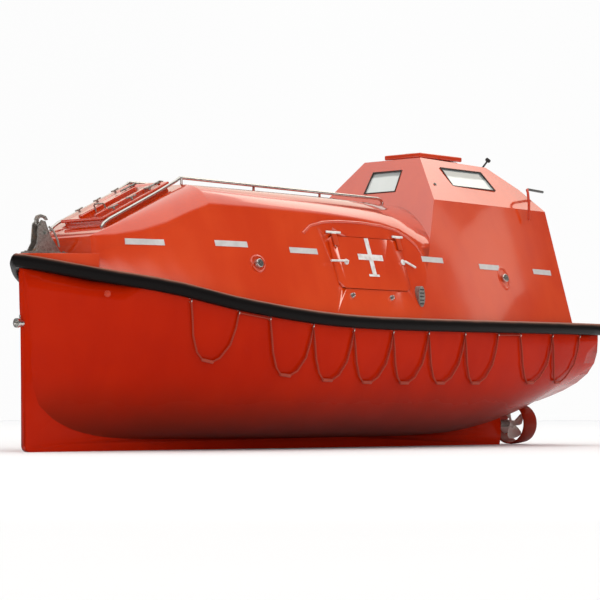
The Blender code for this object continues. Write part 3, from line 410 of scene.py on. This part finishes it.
room.node_tree.links.new(rise.outputs["Z"], level.inputs[0])
level.color_ramp.elements[0].color = (0.08, 0.08, 0.08, 1)
level.color_ramp.elements[1].color = (1.26, 1.22, 1.16, 1)
level.color_ramp.elements[0].position = SKY_DIM_TO
level.color_ramp.elements[1].position = SKY_BRIGHT_FROM
room.node_tree.links.new(level.outputs["Color"], room.node_tree.nodes["Background"].inputs["Color"])
room.node_tree.nodes["Background"].inputs["Strength"].default_value = 1.0
bpy.context.scene.view_settings.view_transform = "Standard"
ceiling = bpy.data.objects.new("ceiling", bpy.data.lights.new("ceiling", "SUN"))
bpy.context.collection.objects.link(ceiling)
ceiling.data.energy = 0.4
ceiling.visible_glossy = False
ceiling.data.angle = math.radians(95)
ceiling.rotation_euler = (math.radians(-14), math.radians(10), 0)
for name, at, size, watts, mirrored in PANELS:
    panel = bpy.data.objects.new(name, bpy.data.lights.new(name, "AREA"))
    bpy.context.collection.objects.link(panel)
    panel.data.size = size
    panel.data.energy = watts
    if mirrored:
        panel.data.color = PANEL_WARMTH
    panel.location = at
    panel.rotation_euler = (-panel.location).to_track_quat("-Z", "Y").to_euler()
    panel.visible_glossy = mirrored
    panel.visible_diffuse = not mirrored
    panel.visible_camera = False


# Hull. One glass-fibre moulding in glossy orange-red gelcoat, with the bar keel moulded in. The bottom is
# rougher and darker lower down, with painted shade, but the bar keel keeps the gelcoat's colour.
MOULD_WAVES = 0.004
ORANGE_PEEL = 0.0004
# Half the bar keel's width, outside which the bottom gets its painted shade
KEEL_EDGE = (0.032, 0.036)
# Height under which the bottom is fully rough and darkened by painted shade, and over which it is not
SHADE_AND_DULL_HEIGHTS = (-0.42, 0.25)


def gelcoat(name, fresh, weathered, gloss):
    """Pigmented gelcoat: slow changes of tone, faint run marks, orange peel and long moulding waves."""
    paint = Paint(name)
    tone = paint.noise(0.9, 3.0)
    runs = paint.noise(5.0, 3.0, (1, 1, 0.12))
    speckle = paint.noise(45.0, 2.0)
    waves = paint.noise(1.5, 1.0, (1, 1, 1.6))
    peel = paint.noise(160.0, 1.0)
    share = paint.between(tone * 0.7 + runs * 0.25 + speckle * 0.05, 0.35, 0.65)
    paint.colour = paint.mix(share, fresh, weathered)
    paint.sheen = tone * 0.08 + runs * 0.06 + 0.08
    waved = paint.bump(waves, MOULD_WAVES)
    fine = {"Height": peel, "Distance": ORANGE_PEEL, "Strength": 0.3, "Normal": waved}
    paint.relief = paint.node("Bump", sockets=fine)
    paint.gloss = {"Coat_Weight": gloss, "Coat_Roughness": 0.05, "Specular_IOR_Level": gloss}
    return paint


def fair_copy(node, name, paint, angle=35, edge=0.0, flat=False):
    """A welded copy of a CAD node with smooth shading, or with flat faces and rounded edges, in its place."""
    solid = frame["nodes"][node]
    piece = bpy.data.objects.new(name, solid.data.copy())
    bpy.context.collection.objects.link(piece)
    alone(piece)
    bpy.ops.object.mode_set(mode="EDIT")
    bpy.ops.mesh.select_all(action="SELECT")
    bpy.ops.mesh.remove_doubles(threshold=0.0001)
    if flat:
        bpy.ops.mesh.dissolve_limited(angle_limit=math.radians(1))
    bpy.ops.object.mode_set(mode="OBJECT")
    if edge:
        round_edges(piece, edge, 2, min(angle, 30))
    body = solid["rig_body"]
    settle(piece, name, paint, body, angle)
    piece.modifiers.new("fair_faces", "WEIGHTED_NORMAL").keep_sharp = True
    bpy.ops.object.modifier_apply(modifier="fair_faces")
    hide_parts(node)
    return piece


below = gelcoat("hull_gelcoat", (0.37, 0.010, 0.0003, 1), (0.43, 0.014, 0.0005, 1), 0.04)
height = below.axis("Z")
across = below.node("Math", {"operation": "ABSOLUTE"}, {0: below.axis("Y")})
off_keel = below.between(across, *KEEL_EDGE)
# Painted shade: the bottom darkens and gets rougher lower down, but not on the bar keel
bottom_shade_and_dull = (1 - below.between(height + below.noise(2.0, 3.0) * 0.2, *SHADE_AND_DULL_HEIGHTS)) * off_keel
HULL_PAINT = below.finish(
    Base_Color=below.mix(bottom_shade_and_dull, below.colour, (0.16, 0.012, 0.004, 1)),
    Roughness=below.sheen + bottom_shade_and_dull * 0.3,
    Normal=below.relief,
    **below.gloss,
)
fair_copy("hull", "hull_moulding", HULL_PAINT, 40)


# Fender. A black rubber D-section bolted round the gunwale, with a patchy reddish-brown painted highlight
# along its upper side, for the light on its top and the red canopy mirrored in it.
rubber = Paint("fender_rubber")
# Painted highlight on the faces that look up, in patches
painted_top_highlight = rubber.between(rubber.facing("Z") + rubber.noise(3.0, 4.0) * 0.4, 0.55, 1.15)
grain = rubber.noise(220.0, 2.0)
FENDER_PAINT = rubber.finish(
    Base_Color=rubber.mix(painted_top_highlight, (0.004, 0.003, 0.003, 1), (0.30, 0.12, 0.08, 1)),
    Roughness=grain * 0.15 + 0.38,
    Normal=rubber.bump(grain, 0.0006, 0.4),
    Specular_IOR_Level=0.10,
)
fair_copy("fender", "fender_rubber", FENDER_PAINT, 60)


# Canopy, tower and decks. Lighter gelcoat than the hull's, moulded in thin glass-fibre shells. The tower's
# faces are flat, with edges rounded by the mould.
above = gelcoat("canopy_gelcoat", (0.56, 0.034, 0.001, 1), (0.64, 0.052, 0.003, 1), 0.9)
CANOPY_PAINT = above.finish(
    Base_Color=above.colour,
    Roughness=above.sheen,
    Normal=above.relief,
    **above.gloss,
)
fair_copy("canopy", "canopy_shell", CANOPY_PAINT, 50)
fair_copy("tower", "tower_shell", CANOPY_PAINT, 12, 0.008, True)
for node in ("foredeck", "aft_deck"):
    fair_copy(node, node + "_laminate", CANOPY_PAINT, 30, 0.006, True)


# Retro-reflective tapes. Strips of silver sheeting stuck round the canopy and tower at the height of the
# doors, so that a searchlight finds the boat.
TAPE_SIZE = (0.36, 0.055)
# Middle of each tape: x, z
TAPES = ((2.70, 1.311), (1.827, 1.326), (0.967, 1.297), (-0.909, 1.295), (-1.865, 1.262), (-2.854, 1.254))
TAPE_LIFT = 0.0025
TAPE_THICKNESS = 0.0015
STRIP_STEP = 0.03
upper_skin = skin_of("canopy", "tower", "door_port", "door_starboard")

silver = Paint("reflective_tape")
cells = silver.node("TexVoronoi", sockets={"Vector": silver.place, "Scale": 240.0})
grime = silver.noise(14.0, 4.0)
TAPE_PAINT = silver.finish(
    Base_Color=silver.mix(grime, (0.50, 0.47, 0.46, 1), (0.74, 0.72, 0.71, 1)),
    Metallic=0.25,
    Roughness=grime * 0.2 + 0.25,
    Normal=silver.bump(cells, 0.0005, 0.4),
)


def strip(x, z, length, width, side, skin, lift=TAPE_LIFT):
    """A thin strip that lies on the boat's side, made as a grid that is laid on the skin point by point."""
    along = max(2, round(length / STRIP_STEP))
    up = max(2, round(width / STRIP_STEP))
    bpy.ops.mesh.primitive_grid_add(x_subdivisions=along, y_subdivisions=up, size=1)
    piece = bpy.context.object
    piece.scale = (length, width, 1)
    piece.rotation_euler = (math.radians(90), 0, 0)
    piece.location = (x, 0, z)
    bpy.ops.object.transform_apply(location=True, rotation=True, scale=True)
    for vertex in piece.data.vertices:
        point, normal = from_side(skin, vertex.co.x, vertex.co.z, side)
        vertex.co = point + normal * lift
    bpy.ops.object.mode_set(mode="EDIT")
    bpy.ops.mesh.select_all(action="SELECT")
    if side > 0:
        bpy.ops.mesh.flip_normals()
    bpy.ops.object.mode_set(mode="OBJECT")
    sheet = piece.modifiers.new("thickness", "SOLIDIFY")
    sheet.thickness = TAPE_THICKNESS
    sheet.offset = 1
    return piece


for side, hand in ((1, "port"), (-1, "starboard")):
    strips = []
    for x, z in TAPES:
        tape = strip(x, z, *TAPE_SIZE, side, upper_skin)
        strips.append(settle(tape, "tape", TAPE_PAINT, "boat"))
    settle(merged(strips), "reflective_tapes_" + hand, TAPE_PAINT, "boat")


# Side doors. Curved laminate panels that swing up on two painted hinges with bare steel pins. Each has a
# white cross of tape, a turned latch at each end, and two eyes below for the boarding ladder.

# Middle of the cross: x, z
CROSS_AT = (0.068, 1.272)
# Height and length of the cross, and width of its bars
CROSS_SIZE = (0.38, 0.36, 0.058)
# Length and width of the short bar at the cross's foot
CROSS_FOOT = (0.15, 0.022)
# Each tape of the cross lies this much over the one before it
CROSS_LAP = 0.0004
# Each latch: x and z of its spindle on the door, x and z of its lever's end
LATCHES = (((0.437, 1.212), (0.682, 1.203)), ((-0.400, 1.243), (-0.560, 1.190)))
LEVER_OFF_DOOR = 0.035
# Each eye: x, z
EYES = ((0.453, 0.882), (-0.109, 0.877))
# Height over which the hinges' pins are bare metal
BARE_PIN = (1.484, 1.488)

white = Paint("white_paint")
worn = white.noise(18.0, 4.0)
WHITE_PAINT = white.finish(
    Base_Color=white.mix(white.between(worn, 0.35, 0.7), (0.72, 0.70, 0.68, 1), (0.56, 0.50, 0.47, 1)),
    Roughness=worn * 0.2 + 0.28,
    Normal=white.bump(worn, 0.0006, 0.3),
)


def standing(point, normal):
    """Frame on a surface, with Z out of it."""
    return Matrix.Translation(point) @ normal.to_track_quat("Z", "Y").to_matrix().to_4x4()


def rod(points, radius, sides=3, closed=False):
    """A round bar along a line of points, bent smoothly, as a mesh."""
    line = bpy.data.curves.new("rod", "CURVE")
    line.dimensions = "3D"
    line.bevel_depth = radius
    line.bevel_resolution = sides
    line.use_fill_caps = True
    course = line.splines.new("POLY")
    course.points.add(len(points) - 1)
    for point, at in zip(course.points, points):
        point.co = (*at, 1)
    course.use_cyclic_u = closed
    bent = bpy.data.objects.new("rod", line)
    bpy.context.collection.objects.link(bent)
    alone(bent)
    bpy.ops.object.convert(target="MESH")
    return bpy.context.object


def bolt_at(point, normal, radius):
    """A domed hexagon bolt head on its washer."""
    place = standing(point, normal)
    bpy.ops.mesh.primitive_cylinder_add(vertices=20, radius=radius * 1.5, depth=0.003)
    washer = bpy.context.object
    washer.matrix_world = place @ Matrix.Translation((0, 0, 0.0015))
    bpy.ops.mesh.primitive_cylinder_add(vertices=6, radius=radius, depth=radius * 0.8)
    head = bpy.context.object
    head.matrix_world = place @ Matrix.Translation((0, 0, 0.003 + radius * 0.4))
    return merged([washer, rounded(head, radius * 0.18)])


hinge = Paint("hinge_paint")
bare_pin = hinge.between(hinge.axis("Z"), *BARE_PIN)
rubbed = hinge.noise(25.0, 3.0)
HINGE_PAINT = hinge.finish(
    Base_Color=hinge.mix(bare_pin, (0.50, 0.040, 0.004, 1), (0.70, 0.68, 0.65, 1)),
    Roughness=rubbed * 0.2 + 0.22,
    Normal=hinge.bump(rubbed, 0.0006, 0.3),
)

for side, hand in ((1, "port"), (-1, "starboard")):
    body = f"door_{hand}_side"
    door_skin = skin_of("door_" + hand)
    fair_copy("door_" + hand, f"door_{hand}_panel", CANOPY_PAINT, 35)
    for end in ("fore", "aft"):
        fair_copy(f"door_hinge_{hand}_{end}", f"door_hinge_{hand}_{end}_painted", HINGE_PAINT, 40)
    x, z = CROSS_AT
    tall, wide, width = CROSS_SIZE
    bars = [
        strip(x, z, width, tall, side, door_skin),
        strip(x, z, wide, width, side, door_skin, TAPE_LIFT + CROSS_LAP),
        strip(x + 0.01, z - tall / 2 + 0.01, *CROSS_FOOT, side, door_skin, TAPE_LIFT + 2 * CROSS_LAP),
    ]
    for bar in bars:
        settle(bar, "cross", WHITE_PAINT, body)
    settle(merged(bars), "door_cross_" + hand, WHITE_PAINT, body)
    latches = []
    for spindle, (end_x, end_z) in LATCHES:
        near, normal = from_side(door_skin, *spindle, side)
        start = near + normal * LEVER_OFF_DOOR
        far = Vector((end_x, near.y, end_z)) + normal * LEVER_OFF_DOOR
        stem = [near - normal * 0.002, near + normal * 0.03]
        lever = [start.lerp(far, 0.06), start.lerp(far, 0.55), far]
        latches.append(rod(stem + lever, 0.011))
        bpy.ops.mesh.primitive_cylinder_add(vertices=24, radius=0.030, depth=0.012)
        rose = bpy.context.object
        rose.matrix_world = standing(near + normal * 0.006, normal)
        latches.append(rounded(rose, 0.004))
    settle(merged(latches), "door_latches_" + hand, WHITE_PAINT, body)
    eyes = []
    for x, z in EYES:
        point, normal = from_side(upper_skin, x, z, side)
        bpy.ops.mesh.primitive_torus_add(
            major_radius=0.020, minor_radius=0.0055, major_segments=24, minor_segments=8,
        )
        ring = bpy.context.object
        upright = Matrix.Rotation(math.radians(90), 4, "Y")
        ring.matrix_world = standing(point + normal * 0.016, normal) @ upright
        bpy.ops.mesh.primitive_cylinder_add(vertices=24, radius=0.026, depth=0.006)
        plate = bpy.context.object
        plate.matrix_world = standing(point + normal * 0.003, normal)
        eyes += [ring, plate]
    settle(merged(eyes), "ladder_eyes_" + hand, STEEL_PAINT, "boat")


# Drip moulding. A half-round bead moulded over each door, which keeps the rain off it. It runs aft and turns
# down before the tower.

# Course of the bead: x, z
MOULDING = (
    (0.92, 1.47), (0.80, 1.55), (0.62, 1.595), (0.40, 1.615), (0.10, 1.62),
    (-0.20, 1.605), (-0.42, 1.57), (-0.58, 1.51), (-0.70, 1.43), (-0.76, 1.33),
)
MOULDING_RADIUS = 0.014
MOULDING_SUNK = 0.003

for side, hand in ((1, "port"), (-1, "starboard")):
    bead = []
    for x, z in MOULDING:
        point, normal = from_side(upper_skin, x, z, side)
        bead.append(point - normal * MOULDING_SUNK)
    settle(rod(bead, MOULDING_RADIUS), "drip_moulding_" + hand, CANOPY_PAINT, "boat", 60)


# Windows. Flat panes in the tower's front, sides and back, each held by a black rubber gasket that laps over
# the laminate round it.
GASKET_LAP = 0.006
GASKET_RADIUS = 0.0085
LAMINATE_LIP = 0.011
# Height from which painted shade darkens the tops of the panes
SHADE_HEIGHTS = (2.235, 2.262)
TOWER_MIDDLE = Vector((-2.0, 0, 1.6))

glass = Paint("window_glass")
smears = glass.noise(6.0, 4.0)
shaded = glass.between(glass.axis("Z") + smears * 0.02, *SHADE_HEIGHTS)
pale = glass.mix(smears, (0.60, 0.68, 0.66, 1), (0.72, 0.78, 0.77, 1))
WINDOW_PAINT = glass.finish(
    Base_Color=glass.mix(shaded, pale, (0.24, 0.27, 0.27, 1)),
    Roughness=smears * 0.05 + 0.03,
    Specular_IOR_Level=0.8,
    Coat_Weight=0.6,
)
gasket_rubber = Paint("window_rubber")
perished = gasket_rubber.noise(30.0, 4.0)
GASKET_PAINT = gasket_rubber.finish(
    Base_Color=gasket_rubber.mix(perished, (0.030, 0.016, 0.013, 1), (0.085, 0.045, 0.036, 1)),
    Roughness=perished * 0.2 + 0.5,
    Normal=gasket_rubber.bump(perished, 0.0006, 0.4),
)
for node in ("window_front", "window_port", "window_starboard", "window_aft"):
    pane = fair_copy(node, node + "_pane", WINDOW_PAINT, 20, flat=True)
    outward = [face for face in pane.data.polygons if face.normal.dot(face.center - TOWER_MIDDLE) > 0]
    outer = max(outward, key=lambda face: face.area)
    rim = []
    for corner in outer.vertices:
        inward = (outer.center - pane.data.vertices[corner].co).normalized()
        rim.append(pane.data.vertices[corner].co + inward * GASKET_LAP + outer.normal * LAMINATE_LIP)
    gasket = rod(rim, GASKET_RADIUS, 4, closed=True)
    settle(gasket, node + "_gasket", GASKET_PAINT, "boat", 40)


# Rails. Polished stainless tubes on short posts, one on each side, from the bow hatch along the roof to the
# tower.
for hand in ("port", "starboard"):
    fair_copy("rail_" + hand, f"rail_{hand}_polished", STEEL_PAINT, 60)


# Bow hatch. A laminate lid on a low coaming, with a raised rim, two stiffening ribs, galvanised hinge straps,
# six dogs that pull it down on its seal, and a grab bar.

# Fall of the foredeck in a metre of its length
LID_FALL = 0.465
# Grab bar, on the lid: x down the slope, y, height
BOW_GRAB = (
    (0.20, -0.07, 0.0), (0.20, -0.07, 0.05), (0.20, -0.055, 0.062),
    (0.20, 0.055, 0.062), (0.20, 0.07, 0.05), (0.20, 0.07, 0.0),
)


def on_slope(x, y, z):
    """A point on the sloping foredeck: x down the slope from the lid's middle, y to port, z off its top."""
    return lid_frame @ Vector((x, y, z))


low_corner, high_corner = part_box("bow_hatch_lid")
lid_middle = (low_corner + high_corner) / 2
lid_frame = Matrix.Translation(lid_middle) @ Matrix.Rotation(math.atan(LID_FALL), 4, "Y")
galvanised = Paint("galvanised_steel")
spangle = galvanised.node("TexVoronoi", sockets={"Vector": galvanised.place, "Scale": 90.0}, output="Color")
spangle_tone = galvanised.node("SeparateXYZ", sockets={0: spangle})
rust = galvanised.between(galvanised.noise(9.0, 5.0), 0.56, 0.72)
clean_zinc = galvanised.mix(spangle_tone, (0.26, 0.25, 0.23, 1), (0.46, 0.45, 0.42, 1))
ZINC_PAINT = galvanised.finish(
    Base_Color=galvanised.mix(rust, clean_zinc, (0.20, 0.09, 0.04, 1)),
    Metallic=0.85 - rust * 0.7,
    Roughness=spangle_tone * 0.15 + 0.38 + rust * 0.3,
    Normal=galvanised.bump(spangle_tone, 0.0004, 0.4),
)

fair_copy("bow_hatch_coaming", "bow_hatch_coaming_laminate", CANOPY_PAINT, 30, 0.005, True)
lid = fair_copy("bow_hatch_lid", "bow_hatch_lid_laminate", CANOPY_PAINT, 30, flat=True)
alone(lid)
bpy.ops.object.mode_set(mode="EDIT")
bpy.ops.mesh.select_mode(type="FACE")
bpy.ops.mesh.select_all(action="DESELECT")
bpy.ops.object.mode_set(mode="OBJECT")
lid_up = lid_frame.to_3x3() @ Vector((0, 0, 1))
top = max(lid.data.polygons, key=lambda face: face.area * (face.normal.dot(lid_up) > 0.99))
top.select = True
bpy.ops.object.mode_set(mode="EDIT")
bpy.ops.mesh.inset(thickness=0.045)
bpy.ops.transform.translate(value=-0.010 * lid_up)
bpy.ops.mesh.inset(thickness=0.012)
bpy.ops.transform.translate(value=-0.004 * lid_up)
bpy.ops.object.mode_set(mode="OBJECT")
fittings = []
for y in (-0.10, 0.10):
    bpy.ops.mesh.primitive_cube_add(size=1)
    rib = bpy.context.object
    rib.matrix_world = lid_frame @ Matrix.Translation((0, y, 0.007)) @ Matrix.Diagonal((0.74, 0.05, 0.022, 1))
    bpy.ops.object.transform_apply(location=True, rotation=True, scale=True)
    round_edges(rib, 0.006)
    fittings.append(settle(rib, "rib", CANOPY_PAINT, "bow_hatch"))
settle(merged(fittings), "bow_hatch_ribs", CANOPY_PAINT, "bow_hatch")
fittings = []
for y in (-0.17, 0.17):
    strap = rod([on_slope(-0.50, y, 0.004), on_slope(-0.46, y, 0.022), on_slope(-0.26, y, 0.022)], 0.009)
    fittings.append(strap)
    for x in (-0.42, -0.30):
        fittings.append(bolt_at(on_slope(x, y + 0.024, 0.015), lid_up, 0.008))
        fittings.append(bolt_at(on_slope(x, y - 0.024, 0.015), lid_up, 0.008))
for x in (-0.25, 0.0, 0.25):
    for y in (-1, 1):
        foot = on_slope(x, y * 0.235, 0.012)
        fittings.append(rod([foot, on_slope(x, y * 0.235, 0.034)], 0.012))
        grip = ((x - 0.055, y * 0.245, 0.038), (x + 0.02, y * 0.232, 0.040), (x + 0.055, y * 0.222, 0.046))
        fittings.append(rod([on_slope(*point) for point in grip], 0.008))
fittings.append(rod([on_slope(*point) for point in BOW_GRAB], 0.008))
settle(merged(fittings), "bow_hatch_fittings", ZINC_PAINT, "bow_hatch")
peg_foot = on_slope(0.44, 0.10, -0.075)
peg = rod([peg_foot, peg_foot + Vector((0.045, 0, -0.004))], 0.011)
settle(peg, "bow_hatch_peg", WHITE_PAINT, "boat")


# Roof hatch. A flat slab of a lid over the helm, on a low coaming, with a grab bar across it and two hinges
# at its aft edge.

# Grab bar: y, height over the lid
ROOF_GRAB = ((-0.07, -0.004), (-0.07, 0.012), (-0.05, 0.013), (0.05, 0.013), (0.07, 0.012), (0.07, -0.004))

fair_copy("roof_hatch_coaming", "roof_hatch_coaming_laminate", CANOPY_PAINT, 30, 0.005, True)
fair_copy("roof_hatch_lid", "roof_hatch_lid_laminate", CANOPY_PAINT, 30, flat=True)
low_corner, high_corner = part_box("roof_hatch_lid")
middle = (low_corner + high_corner) / 2
top = high_corner.z
metal = [rod([Vector((middle.x + 0.22, y, top + up)) for y, up in ROOF_GRAB], 0.006)]
for y in (-0.14, 0.14):
    knuckle = Vector((low_corner.x - 0.018, y, top - 0.002))
    metal.append(rod([knuckle - Vector((0, 0.035, 0)), knuckle + Vector((0, 0.035, 0))], 0.009))
    for along in (0.03, 0.09):
        metal.append(bolt_at(Vector((low_corner.x + along, y, top)), Vector((0, 0, 1)), 0.007))
settle(merged(metal), "roof_hatch_fittings", STEEL_PAINT, "roof_hatch")


# Stern hatch. A square door in the tower's flat back, which swings out, with a lever latch, four bolts and
# two hinges on its port edge.

# Latch: how far off the door, height
STERN_LATCH = ((0.0, 1.48), (0.03, 1.48), (0.034, 1.47), (0.034, 1.36))

fair_copy("stern_hatch_door", "stern_hatch_panel", CANOPY_PAINT, 30, flat=True)
low_corner, high_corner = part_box("stern_hatch_door")
face_x = low_corner.x
metal = [rod([Vector((face_x - out, -0.20, z)) for out, z in STERN_LATCH], 0.010)]
for z in (1.31, 1.65):
    knuckle = Vector((face_x - 0.012, 0.288, z))
    metal.append(rod([knuckle - Vector((0, 0, 0.04)), knuckle + Vector((0, 0, 0.04))], 0.010))
    metal.append(rod([Vector((face_x - 0.006, 0.285, z)), Vector((face_x - 0.006, 0.18, z))], 0.008))
for z in (1.26, 1.70):
    for y in (-0.24, 0.24):
        metal.append(bolt_at(Vector((face_x, y, z)), Vector((-1, 0, 0)), 0.008))
settle(merged(metal), "stern_hatch_fittings", STEEL_PAINT, "stern_hatch")


# Release hooks. Galvanised plates on the end decks, bolted down, with a forged hook on a pin between the
# cheeks, a locking lever and the release cable's sleeve.

# Courses from the pin: along the deck, to port, up
HOOK_LEVER = ((-0.02, 0.068, 0.06), (-0.075, 0.072, 0.02), (-0.12, 0.076, -0.06), (-0.135, 0.080, -0.12))
CABLE_SLEEVE = (
    (-0.05, -0.055, -0.02), (-0.10, -0.062, -0.07), (-0.15, -0.064, -0.13), (-0.18, -0.064, -0.166),
)


def hook_gear(end, x, pin_z, facing):
    """Plates, hook and metalwork of one end. Facing is 1 at the bow and -1 at the stern, to mirror them."""
    deck_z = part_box("hook_bracket_" + end)[0].z
    fair_copy("hook_bracket_" + end, f"hook_bracket_{end}_plates", ZINC_PAINT, 30, 0.003, True)
    fair_copy("hook_" + end, f"hook_{end}_forged", ZINC_PAINT, 30, 0.004, True)
    steel_work = []
    for y in (-1, 1):
        steel_work.append(bolt_at(Vector((x, y * 0.047, pin_z)), Vector((0, y, 0)), 0.020))
        stop = Vector((x + facing * 0.06, y * 0.047, pin_z + 0.085))
        steel_work.append(bolt_at(stop, Vector((0, y, 0)), 0.011))
        for along in (-0.19, -0.06, 0.13):
            spot = Vector((x + facing * along, y * 0.078, deck_z + 0.022))
            steel_work.append(bolt_at(spot, Vector((0, 0, 1)), 0.011))
    for course, radius in ((HOOK_LEVER, 0.010), (CABLE_SLEEVE, 0.008)):
        line = [Vector((x + facing * along, y, pin_z + z)) for along, y, z in course]
        steel_work.append(rod(line, radius))
    settle(merged(steel_work), f"hook_{end}_bolts", ZINC_PAINT, "boat")


hook_gear("fore", 3.40, 1.3805, 1)
hook_gear("aft", -3.50, 0.8905, -1)


# Breather valves and vents. Domed stainless plugs in raised laminate rings, and an oval cowl with slats
# that feeds the engine.
VALVE_HALF_WIDTH = 0.062
SLAT_SPACING = 0.035
plastic = Paint("black_plastic")
pores = plastic.noise(300.0, 1.0)
PLASTIC_PAINT = plastic.finish(
    Base_Color=plastic.mix(pores, (0.010, 0.009, 0.009, 1), (0.028, 0.024, 0.024, 1)),
    Roughness=pores * 0.2 + 0.6,
    Normal=plastic.bump(pores, 0.0004, 0.3),
)
for hand, side in (("port", 1), ("starboard", -1)):
    rings, slats = [], []
    for end, half_height in (("fore", VALVE_HALF_WIDTH), ("aft", 0.092)):
        node = f"valve_{hand}_{end}"
        fair_copy(node, node + "_dome", STEEL_PAINT, 40, 0.006, True)
        low_corner, high_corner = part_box(node)
        middle = (low_corner + high_corner) / 2
        point, normal = from_side(upper_skin, middle.x, middle.z, side)
        bpy.ops.mesh.primitive_torus_add(
            major_radius=0.078, minor_radius=0.011, major_segments=40, minor_segments=8,
        )
        ring = bpy.context.object
        stretch = Matrix.Diagonal((1, half_height / VALVE_HALF_WIDTH, 1, 1))
        ring.matrix_world = standing(point, normal) @ stretch
        rings.append(ring)
    settle(merged(rings), "valve_rings_" + hand, CANOPY_PAINT, "boat")
    node = "air_vent_" + hand
    fair_copy(node, node + "_cowl", ZINC_PAINT, 40, 0.006, True)
    low_corner, high_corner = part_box(node)
    outer_y = side * max(abs(low_corner.y), abs(high_corner.y))
    middle_x = (low_corner.x + high_corner.x) / 2
    for step in range(5):
        z = low_corner.z + SLAT_SPACING * (step + 1)
        bpy.ops.mesh.primitive_cube_add(size=1, location=(middle_x, outer_y, z))
        slat = bpy.context.object
        slat.scale = (0.062, 0.006, 0.014)
        slat.rotation_euler = (side * 0.5, 0, 0)
        bpy.ops.object.transform_apply(location=True, rotation=True, scale=True)
        round_edges(slat, 0.002)
        slats.append(settle(slat, "slat", PLASTIC_PAINT, "boat"))
    settle(merged(slats), "air_vent_slats_" + hand, PLASTIC_PAINT, "boat")


# Small fittings. The painter release on the stem, the lamp on its stalk, and the spray pipe over the
# quarter, with an eye on the tower and a plug in each side of the bow.

# The spray pipe is black aft of this x
PIPE_BLACK = (-2.925, -2.915)
# Places on the sides: x, z
TOWER_EYE = (-1.41, 2.12)
BOW_PLUG = (3.077, 0.827)

fair_copy("painter_release", "painter_release_turned", STEEL_PAINT, 40, 0.003)
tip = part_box("painter_release")[1]
pin = [bolt_at(Vector((tip.x, 0, 0.56)), Vector((1, 0, 0)), 0.016)]
pin_x = tip.x - 0.045
pin.append(rod([Vector((pin_x, 0, 0.60)), Vector((pin_x, 0, 0.635))], 0.007))
settle(merged(pin), "painter_pin", STEEL_PAINT, "boat")
fair_copy("lamp_post", "lamp_turned", PLASTIC_PAINT, 40)
pipe = Paint("spray_pipe_paint")
blackened = 1 - pipe.between(pipe.axis("X"), *PIPE_BLACK)
PIPE_PAINT = pipe.finish(
    Base_Color=pipe.mix(blackened, (0.50, 0.030, 0.003, 1), (0.05, 0.05, 0.05, 1)),
    Roughness=pipe.noise(20.0, 3.0) * 0.2 + 0.3,
)
fair_copy("spray_pipe", "spray_pipe_bent", PIPE_PAINT, 40)
nub, facing = from_side(upper_skin, *TOWER_EYE, 1)
settle(bolt_at(nub, facing, 0.014), "tower_eye", ZINC_PAINT, "boat")
plugs = [bolt_at(*from_side(hull_skin, *BOW_PLUG, side), 0.020) for side in (1, -1)]
settle(merged(plugs), "bow_plugs", PIPE_PAINT, "boat")


# Propeller and nozzle. A polished four-bladed bronze screw on its stern tube, turning inside a laminate
# ring that steers the boat.
polished = Paint("polished_bronze")
turning = polished.noise(70.0, 3.0, (6, 1, 1))
PROPELLER_PAINT = polished.finish(
    Base_Color=polished.mix(polished.noise(7.0, 3.0), (0.84, 0.78, 0.70, 1), (0.92, 0.90, 0.86, 1)),
    Metallic=0.35,
    Roughness=turning * 0.12 + 0.10,
    Normal=polished.bump(turning, 0.0005, 0.4),
)
fair_copy("propeller", "propeller_polished", PROPELLER_PAINT, 30)
fair_copy("stern_tube", "stern_tube_turned", ZINC_PAINT, 40, 0.004)
fair_copy("nozzle", "nozzle_ring", HULL_PAINT, 40)


# Inside. Pale liner mouldings for the benches and the helm seat, and the engine's casing, seen through
# the doors and windows when they are open.
liner = Paint("inside_liner")
texture = liner.noise(90.0, 2.0)
LINER_PAINT = liner.finish(
    Base_Color=liner.mix(liner.noise(2.0, 3.0), (0.62, 0.61, 0.57, 1), (0.72, 0.71, 0.67, 1)),
    Roughness=texture * 0.2 + 0.45,
    Normal=liner.bump(texture, 0.0008, 0.4),
)
casing = Paint("engine_paint")
oiled = casing.noise(8.0, 4.0)
ENGINE_PAINT = casing.finish(
    Base_Color=casing.mix(oiled, (0.05, 0.09, 0.07, 1), (0.10, 0.15, 0.12, 1)),
    Roughness=oiled * 0.3 + 0.3,
    Normal=casing.bump(oiled, 0.001, 0.3),
)
for node in ("bench_port", "bench_starboard", "helm_seat"):
    fair_copy(node, node + "_moulding", LINER_PAINT, 30, 0.006, True)
fair_copy("engine", "engine_casing", ENGINE_PAINT, 30, 0.012, True)
